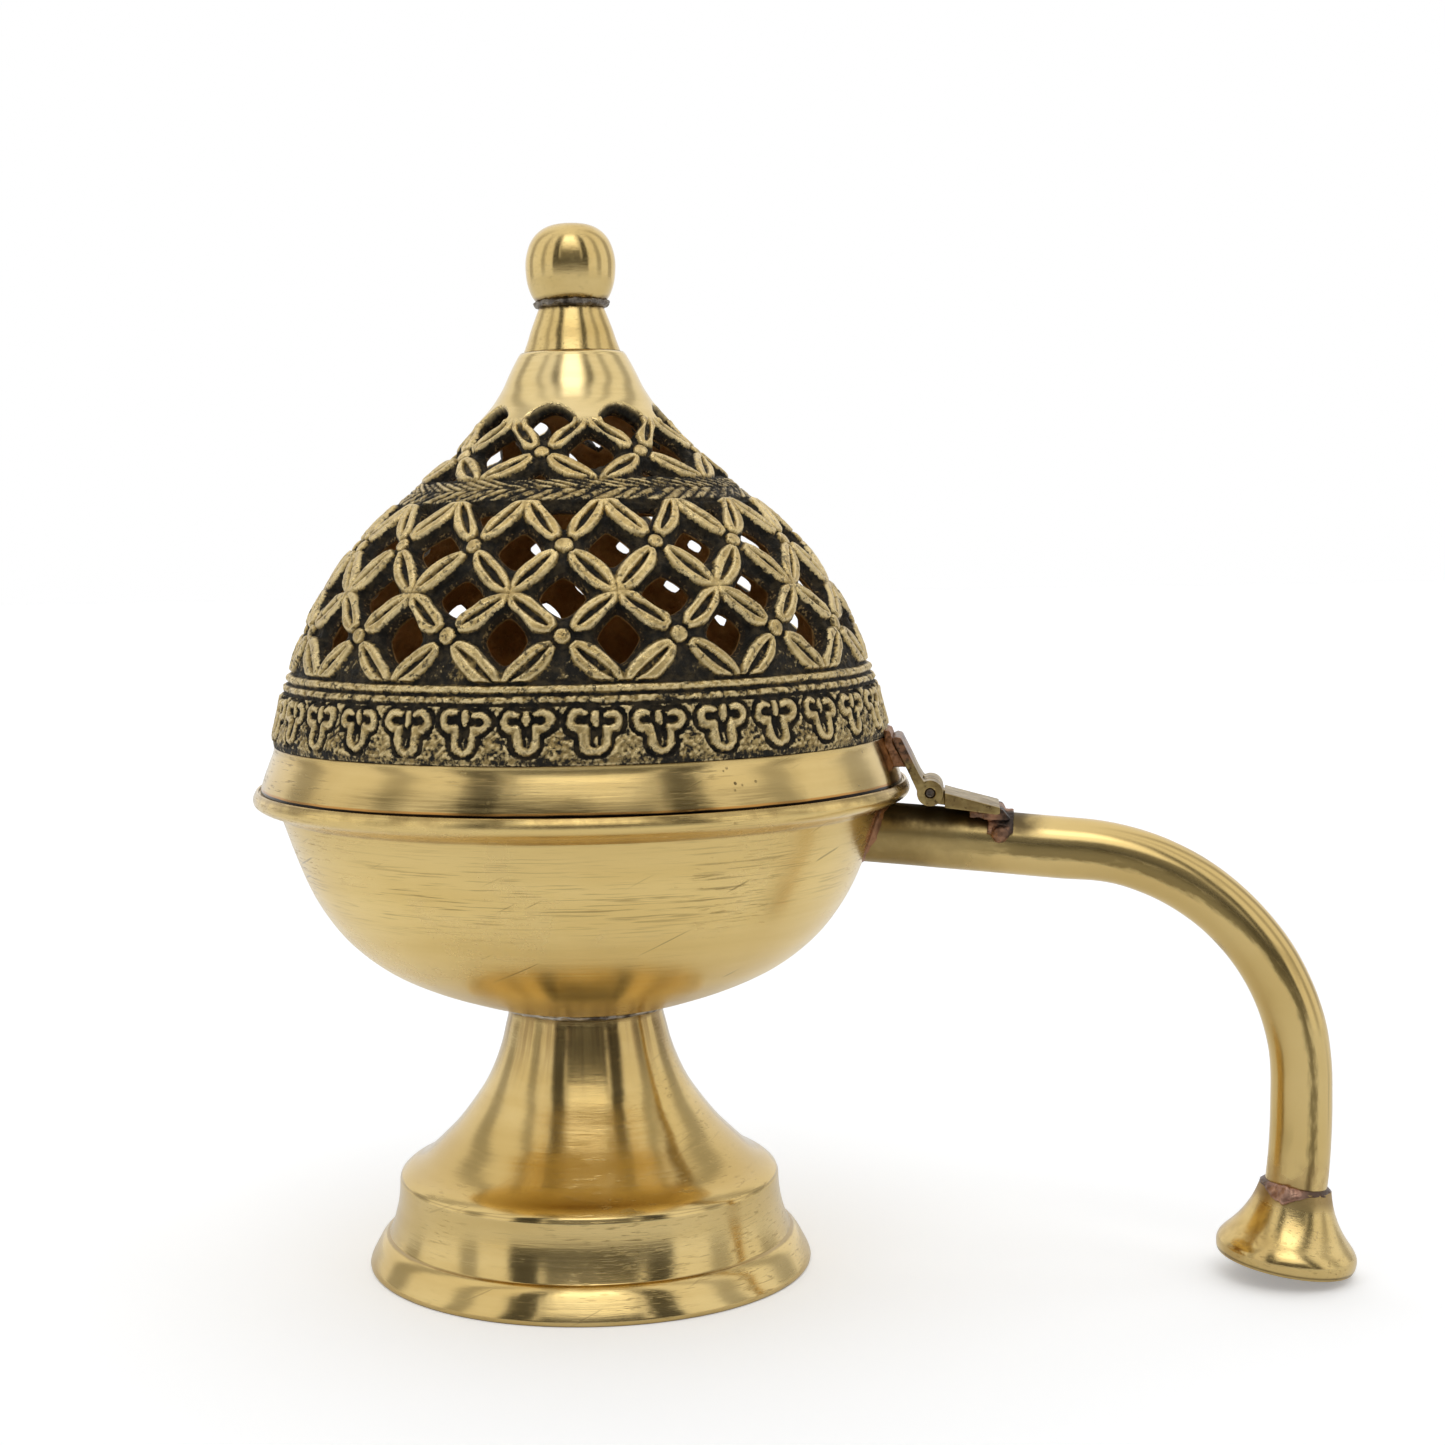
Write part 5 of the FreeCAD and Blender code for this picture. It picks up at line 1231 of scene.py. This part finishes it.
def build_dome():
    rows = np.linspace(0, S_END, int(round(S_END / DS)) + 1)
    TH, SS, quads, tris, border = pierced_grid(rows, NC, 0.0)
    H, crown, D = relief(TH, SS)
    R, Z = RZ_at(SS); nr_, nz_ = normal_at(SS)
    # the ornament's tops lie on the dome's outline, so its ground is sunk below it
    sink = np.interp(Z, [99.6, 101.0, 103.5, 112.0, 120.0, 140.0, 145.5, 147.8], [0, 0.26, 0.42, 0.50, 0.62, 0.66, 0.40, 0.0]) * (1 - crown)
    R = R + nr_ * (H - sink); Z = Z + nz_ * (H - sink)
    V1 = np.stack([R * np.cos(TH), R * np.sin(TH), Z], -1).reshape(-1, 3)
    th1, s1 = TH.ravel(), SS.ravel()
    # inside skin
    rin = np.arange(0, S(147.6), 0.75); rin = np.r_[rin, S(147.6)]
    NI = 384
    TI, SI, q2, t2, bord2 = pierced_grid(rin, NI, 0.95)
    Ri, Zi = RZ_at(SI); a_, b_ = normal_at(SI)
    n5 = fbm(np.stack([Ri * np.cos(TI), Ri * np.sin(TI), Zi], -1).reshape(-1, 3) * 0.35, 3, 71).reshape(TI.shape)
    dep = WALL + 0.16 * n5
    Ri = Ri - a_ * dep; Zi = Zi - b_ * dep
    Zi[0] = 91.2; Ri[0] = 49.6
    V2 = np.stack([Ri * np.cos(TI), Ri * np.sin(TI), Zi], -1).reshape(-1, 3)
    off2 = len(V1)
    q2 = q2[:, ::-1] + off2; t2 = t2[:, ::-1] + off2; bord2 = bord2 + off2
    verts = [V1, V2]; Q = [quads, q2]; Tt = [tris, t2]
    kind = [np.zeros(len(V1)), np.ones(len(V2))]
    hh = [H.ravel(), np.full(len(V2), -1.6)]; cr = [crown.ravel(), np.zeros(len(V2))]
    count = len(V1) + len(V2)
    thA = np.r_[th1, TI.ravel()]; sA = np.r_[s1, SI.ravel()]

    def add(p, k, h_, c_):
        nonlocal count
        verts.append(p); kind.append(np.full(len(p), k)); hh.append(h_ if np.ndim(h_) else np.full(len(p), h_)); cr.append(np.full(len(p), c_))
        i0 = count; count += len(p)
        return i0 + np.arange(len(p))
    # openings
    out_loops = chain(border); in_loops = chain(bord2)
    allv = np.vstack([V1, V2])
    centres = np.array([[hl[1], hl[2]] for hl in HOLES])

    def which(loop):
        lt, ls = thA[loop], sA[loop]
        mt = math.atan2(np.sin(lt).mean(), np.cos(lt).mean()); ms = ls.mean()
        rr = float(rr_of(np.array([ms]))[0])
        d = np.hypot(wrap(centres[:, 0] - mt, 2 * math.pi) * rr, centres[:, 1] - ms)
        return int(np.argmin(d)), float(d.min())
    top = S_END - 1e-6
    groups = {}
    for lp in out_loops:
        if len(lp) > 700:
            continue
        i, dd = which(lp)
        if i not in groups or len(lp) > len(groups[i][0]):
            groups[i] = [lp, groups.get(i, [None, None])[1]]
    for lp in in_loops:
        if len(lp) > 300:
            continue
        i, dd = which(lp)
        if i in groups and (groups[i][1] is None or len(lp) > len(groups[i][1])):
            groups[i][1] = lp
    lost = 0
    for i, (lo, li) in groups.items():
        if lo is None or li is None:
            lost += 1
            continue
        ang, sc = centres[i]
        rc = float(rr_of(np.array([sc]))[0])

        def around(loop):
            return np.arctan2(sA[loop] - sc, wrap(thA[loop] - ang, 2 * math.pi) * rc)
        lo = np.array(lo); li = np.array(li)
        # start both loops at the same side
        lo = np.roll(lo, -int(np.argmin(np.abs(wrap(around(lo), 2 * math.pi))))); li = np.roll(li, -int(np.argmin(np.abs(wrap(around(li), 2 * math.pi)))))
        P0 = allv[lo]; cen = P0.mean(0)
        sr, sz = normal_at(np.array([sc])); nrm = np.array([sr[0] * math.cos(ang), sr[0] * math.sin(ang), sz[0]])
        P1 = allv[li]
        ao = np.unwrap(around(lo)); ai = np.unwrap(around(li))
        sgn = 1 if ao[-1] > ao[0] else -1
        fo = np.maximum.accumulate(np.clip((ao - ao[0]) * sgn / (2 * math.pi), 0, 1)); fi = np.maximum.accumulate(np.clip((ai - ai[0]) * sgn / (2 * math.pi), 0, 1))
        # target of each outer point on the inside loop
        ext = np.vstack([P1, P1[:1]]); fe = np.r_[fi, 1.0]
        tgt = np.stack([np.interp(fo, fe, ext[:, c]) for c in range(3)], -1)
        prev = lo
        for f_ in (0.28, 0.62):
            mid = P0 * (1 - f_) + tgt * f_
            mid = mid + (cen - mid) * 0.0 + nrm * 0.0
            mid = mid + (noise3(mid * 0.9, 73) * 0.12)[:, None] * nrm
            ids = add(mid, 0.5 + 0.3 * f_, -1.6, 0.0)
            m = len(prev); j = (np.arange(m) + 1) % m
            Q.append(np.stack([prev[j], prev, ids, ids[j]], -1))
            prev = ids
        Tt.append(np.array(zip_loops(list(prev), list(li), fo, fi), int))
    # foot edge: outer bottom ring to inner bottom ring, and the crown's end
    ringo = np.arange(NC); ringi = off2 + np.arange(NI)
    Tt.append(np.array(zip_loops(list(ringo), list(ringi), np.arange(NC) / NC, np.arange(NI) / NI), int))
    topo = (len(rows) - 1) * NC + np.arange(NC)
    topi = off2 + (len(rin) - 1) * NI + np.arange(NI)
    prev = topi; tt = np.arange(NI) * 2 * math.pi / NI
    for r_, z_ in ((10.10, 148.05), (8.95, 149.50), (8.00, 151.2), (4.55, 151.2), (4.55, 156.38), (8.80, 156.38)):
        ids = add(np.stack([r_ * np.cos(tt), r_ * np.sin(tt), np.full(NI, z_)], -1), 1.0 if z_ < 152 else 0.0, 0.1, 1.0 if z_ > 152 else 0.0)
        j = (np.arange(NI) + 1) % NI
        Q.append(np.stack([prev[j], prev, ids, ids[j]], -1)); prev = ids
    Tt.append(np.array(zip_loops(list(prev), list(topo), np.arange(NI) / NI, np.arange(NC) / NC), int))
    Vv = np.vstack(verts); Qq = np.vstack(Q); Tr = np.vstack(Tt)
    used = np.zeros(len(Vv), bool); used[Qq.ravel()] = True; used[Tr.ravel()] = True
    new = np.cumsum(used) - 1
    at = {"relief": np.concatenate(hh)[used], "crown": np.concatenate(cr)[used], "skin": np.concatenate(kind)[used]}
    P = Vv[used]
    ang = np.arctan2(P[:, 1], P[:, 0])
    at["grain"] = np.stack([np.cos(ang), np.sin(ang), P[:, 2] * K], -1)
    print("dome: verts", len(P), "faces", len(Qq) + len(Tr), "openings", len(groups), "of", len(HOLES), "unmatched", lost)
    return mesh_np("pierced_dome_cast", P, new[Qq], new[Tr], at)


def dome_material():
    n = Nodes("dome_antiqued_brass")
    obj = n.coord("Object"); g = n.attr("grain", True)
    hgt = n.attr("relief"); crown = n.attr("crown"); skin = n.attr("skin")
    z = n.sep(obj)[2]
    fine = n.noise(obj, 1900.0, 3.0, 0.65); mid = n.noise(obj, 620.0, 4.0, 0.62); big = n.noise(obj, 120.0, 3.0, 0.55)
    pit = n.noise(obj, 1150.0, 2.0, 0.55)
    # how much of the dark patina is left: all of it in the hollows, specks of it on the high spots
    m = n.math("ADD", hgt, n.math("MULTIPLY", n.math("SUBTRACT", mid, 0.5), 0.95))
    m = n.math("ADD", m, n.math("MULTIPLY", n.math("SUBTRACT", fine, 0.5), 0.85))
    m = n.math("ADD", m, n.math("MULTIPLY", n.math("SUBTRACT", big, 0.5), 0.60))
    m = n.math("ADD", m, n.range(z, 0.098, 0.142, -0.03, 0.07, smooth=False))
    rub = n.range(m, -0.04, 0.24)
    # cast pits that keep their dark filling, more of them low down
    pm = n.math("MULTIPLY", n.range(pit, 0.57, 0.64), n.range(z, 0.150, 0.100, 0.35, 0.95))
    pm = n.math("MULTIPLY", pm, n.range(n.noise(obj, 260.0, 2.0, 0.5), 0.36, 0.56))
    pm = n.math("MULTIPLY", pm, n.range(z, 0.0995, 0.1005, 0.60, 1.0))
    rub = n.math("SUBTRACT", rub, n.math("MULTIPLY", pm, 0.85), None, True)
    rub = n.math("MAXIMUM", rub, crown)
    gold = n.mix(n.range(big, 0.36, 0.64), (0.60, 0.430, 0.168), (0.82, 0.625, 0.285))
    gold = n.mix(n.range(mid, 0.40, 0.68), gold, (0.47, 0.335, 0.135))
    # painted shade: the gold is darker low on the dome and lighter toward the top
    shade = n.range(z, 0.098, 0.132, 0.76, 1.06, smooth=False)
    comb = n.t.nodes.new("ShaderNodeCombineXYZ")
    for i in range(3):
        n.set(comb, i, shade)
    gold = n.mix(1.0, gold, comb.outputs[0], "MULTIPLY")
    fine_l = n.noise(n.scale(g, (1.6, 1.6, 1500.0)), 1.0, 4.0, 0.62)
    crown_col = n.mix(n.range(fine_l, 0.3, 0.7), (0.745, 0.565, 0.255), (0.785, 0.605, 0.285))
    crown_col = n.mix(n.range(n.noise(obj, 70.0, 3.0, 0.5), 0.40, 0.62, 0.0, 0.30), crown_col, (0.86, 0.70, 0.40))
    geo = n.t.nodes.new("ShaderNodeNewGeometry")
    # painted shade: the gold darkens on the relief's flanks and low parts, the crests stay light
    lit_crest = n.range(n.math("ADD", hgt, n.math("MULTIPLY", n.math("SUBTRACT", fine, 0.5), 0.35)), 0.18, 0.50)
    low = n.range(z, 0.0995, 0.1005, 0.30, 0.66)
    gold = n.mix(n.math("MULTIPLY", n.math("SUBTRACT", 1.0, lit_crest), low), gold, (0.245, 0.172, 0.064))
    # painted highlight: brighter gold on convex edges, picked out by Pointiness
    ridge = n.range(geo.outputs["Pointiness"], 0.505, 0.545)
    gold = n.mix(n.math("MULTIPLY", ridge, 0.60), gold, (0.95, 0.77, 0.42))
    # painted shade: darker colour in concave creases, picked out by Pointiness
    painted_crease_shade = n.range(geo.outputs["Pointiness"], 0.495, 0.455)
    gold = n.mix(n.math("MULTIPLY", painted_crease_shade, 0.60), gold, (0.120, 0.086, 0.036))
    gold = n.mix(crown, gold, crown_col)
    dark = n.mix(n.range(mid, 0.4, 0.65), (0.016, 0.014, 0.010), (0.060, 0.045, 0.024))
    col = n.mix(rub, dark, gold)
    inside = n.mix(n.range(n.noise(obj, 90.0, 3.0, 0.6), 0.35, 0.65), (0.420, 0.210, 0.062), (0.780, 0.450, 0.165))
    wall = n.mix(n.range(n.math("ADD", fine, n.math("MULTIPLY", mid, 0.6)), 0.84, 1.02), (0.030, 0.020, 0.011), (0.34, 0.23, 0.095))
    col = n.mix(n.range(skin, 0.3, 0.55), col, wall)
    col = n.mix(n.range(skin, 0.80, 1.0), col, inside)
    met = n.math("ADD", n.math("MULTIPLY", rub, 0.75), 0.25, None, True)
    ro = n.math("SUBTRACT", 0.62, n.math("MULTIPLY", rub, 0.33))
    ro = n.math("ADD", ro, n.math("MULTIPLY", n.math("SUBTRACT", mid, 0.5), 0.22), None, True)
    ro_c = n.math("ADD", n.math("MULTIPLY", n.math("SUBTRACT", big, 0.5), 0.16), 0.17)
    mm = n.t.nodes.new("ShaderNodeMix"); mm.data_type = "FLOAT"
    n.set(mm, 0, crown); n.set(mm, 2, ro); n.set(mm, 3, ro_c)
    ro = mm.outputs[0]
    h = n.math("ADD", n.math("MULTIPLY", fine, 0.8), n.math("MULTIPLY", mid, 1.1))
    h = n.math("SUBTRACT", h, n.math("MULTIPLY", pm, 0.7))
    amp = n.math("SUBTRACT", 1.0, n.math("MULTIPLY", crown, 0.99))
    h = n.math("MULTIPLY", h, amp)
    h = n.math("ADD", h, n.math("MULTIPLY", fine_l, n.math("MULTIPLY", crown, 0.03)))
    return n.final(col, ro, n.bump(h, 0.60, 0.00045), metallic=met, Specular_IOR_Level=0.22)


dome_ob = build_dome()
put(dome_ob, "lid", "pierced_dome", dome_material())

# -------------------------------------------------------- table, light and camera
me = bpy.data.meshes.new("table_top")
me.from_pydata([(-4, -4, 0), (4, -4, 0), (4, 4, 0), (-4, 4, 0)], [], [(0, 1, 2, 3)])
table = bpy.data.objects.new("table_top", me)
bpy.context.scene.collection.objects.link(table)
table.location = (0, 0, -0.00005)
n = Nodes("table_white")
paper = n.noise(n.coord("Object"), 900.0, 2.0, 0.5)
tm = n.final(n.mix(n.range(paper, 0.3, 0.7), (0.878, 0.895, 0.925), (0.905, 0.922, 0.95)), 0.85, None, metallic=0.0)
n.b.inputs["Emission Color"].default_value = (1, 1, 1, 1)
ray = n.t.nodes.new("ShaderNodeLightPath")
n.set(n.b, "Emission Strength", n.math("MULTIPLY", ray.outputs["Is Camera Ray"], 0.27))
me.materials.append(tm)

CAM_AZ = math.radians(-81.0)
cam_pos = Vector((0.40866 * math.cos(CAM_AZ), 0.40866 * math.sin(CAM_AZ), 0.1268))

world = bpy.data.worlds.new("studio")
bpy.context.scene.world = world
world.use_nodes = True
wt = world.node_tree
wt.nodes.clear()


class W(Nodes):
    def __init__(self, tree):
        self.t = tree


w = W(wt)
wo = wt.nodes.new("ShaderNodeOutputWorld"); bg = wt.nodes.new("ShaderNodeBackground")
wt.links.new(bg.outputs[0], wo.inputs[0])
dirv = w.sep(w.vmath("NORMALIZE", w.coord("Generated")))
# azimuth from the camera's side of the table, in degrees; elevation in degrees
cx, cy = math.cos(CAM_AZ), math.sin(CAM_AZ)
fwd = w.math("ADD", w.math("MULTIPLY", dirv[0], cx), w.math("MULTIPLY", dirv[1], cy))
side = w.math("ADD", w.math("MULTIPLY", dirv[0], -cy), w.math("MULTIPLY", dirv[1], cx))
az = w.math("MULTIPLY", w.math("ARCTAN2", side, fwd), 180 / math.pi)
el = w.math("MULTIPLY", w.math("ARCSINE", dirv[2]), 180 / math.pi)


def window(v, lo, hi, soft):
    return w.math("MULTIPLY", w.range(v, lo - soft, lo + soft), w.range(v, hi + soft, hi - soft))


level = w.math("ADD", w.math("MULTIPLY", w.range(el, -10, 60), 0.10), 0.92)
dark_front = w.math("MULTIPLY", window(az, -44, 44, 3.0), w.range(el, 17.0, 12.0))
low_front = w.math("MULTIPLY", window(az, -27, 27, 3.0), w.range(el, 35.0, 31.0))
left_post = w.math("MULTIPLY", window(az, -47, -30, 2.5), w.range(el, 84.0, 46.0))
right_post = w.math("MULTIPLY", window(az, 31, 47, 2.5), w.range(el, 84.0, 46.0))
left_post = w.math("MAXIMUM", left_post, w.math("MULTIPLY", low_front, 0.90))
side_posts = w.math("MAXIMUM", window(az, -80, -68, 3.0), w.math("MAXIMUM", window(az, 72, 86, 3.0), w.math("MAXIMUM", window(az, -128, -112, 4.0), window(az, 112, 130, 4.0))))
side_posts = w.math("MULTIPLY", w.math("MULTIPLY", side_posts, w.range(el, 86.0, 50.0)), 0.55)
left_post = w.math("MAXIMUM", left_post, side_posts)
dk = w.math("MAXIMUM", dark_front, w.math("MAXIMUM", left_post, right_post))
box_l = w.math("MULTIPLY", window(az, -24, 24, 2.0), window(el, 34, 64, 2.0))
level = w.math("MULTIPLY", level, w.math("SUBTRACT", 1.0, w.math("MULTIPLY", dk, 0.90)))
level = w.math("ADD", level, w.math("MULTIPLY", box_l, 0.45))
high = w.math("MULTIPLY", window(az, -26, 20, 4.0), window(el, 50, 68, 3.0))
level = w.math("ADD", level, w.math("MULTIPLY", high, 0.9))
lp = wt.nodes.new("ShaderNodeLightPath")
level = w.math("ADD", w.math("MULTIPLY", level, w.math("SUBTRACT", 1.0, lp.outputs["Is Camera Ray"])), w.math("MULTIPLY", lp.outputs["Is Camera Ray"], 1.0))
wt.links.new(level, bg.inputs["Strength"])
wt.links.new(w.mix(lp.outputs["Is Camera Ray"], (1.0, 0.995, 0.985), (1.0, 1.0, 1.0)), bg.inputs["Color"])

cam = bpy.data.cameras.new("photo_camera")
cam.sensor_width = 36.0; cam.lens = 59.44
cam.clip_start = 0.02; cam.clip_end = 30.0
cam.shift_x = (722.5 - 579.9) / 1445
cam_ob = bpy.data.objects.new("photo_camera", cam)
bpy.context.scene.collection.objects.link(cam_ob)
pit, rol = math.radians(4.66), math.radians(-1.198)
Rv = Vector((-math.sin(CAM_AZ), math.cos(CAM_AZ), 0))
look = Vector((-math.cos(CAM_AZ) * math.cos(pit), -math.sin(CAM_AZ) * math.cos(pit), -math.sin(pit)))
Uv = Rv.cross(look)
sr_, cr_ = math.sin(rol), math.cos(rol)
Xc = Rv * cr_ + Uv * sr_
Yc = -Rv * sr_ + Uv * cr_
Zc = -look
cam_ob.matrix_world = Matrix(((Xc.x, Yc.x, Zc.x, cam_pos.x), (Xc.y, Yc.y, Zc.y, cam_pos.y), (Xc.z, Yc.z, Zc.z, cam_pos.z), (0, 0, 0, 1)))
bpy.context.scene.camera = cam_ob
vs = bpy.context.scene.view_settings
vs.view_transform = "Standard"; vs.look = "None"; vs.exposure = 0.0; vs.gamma = 1.0
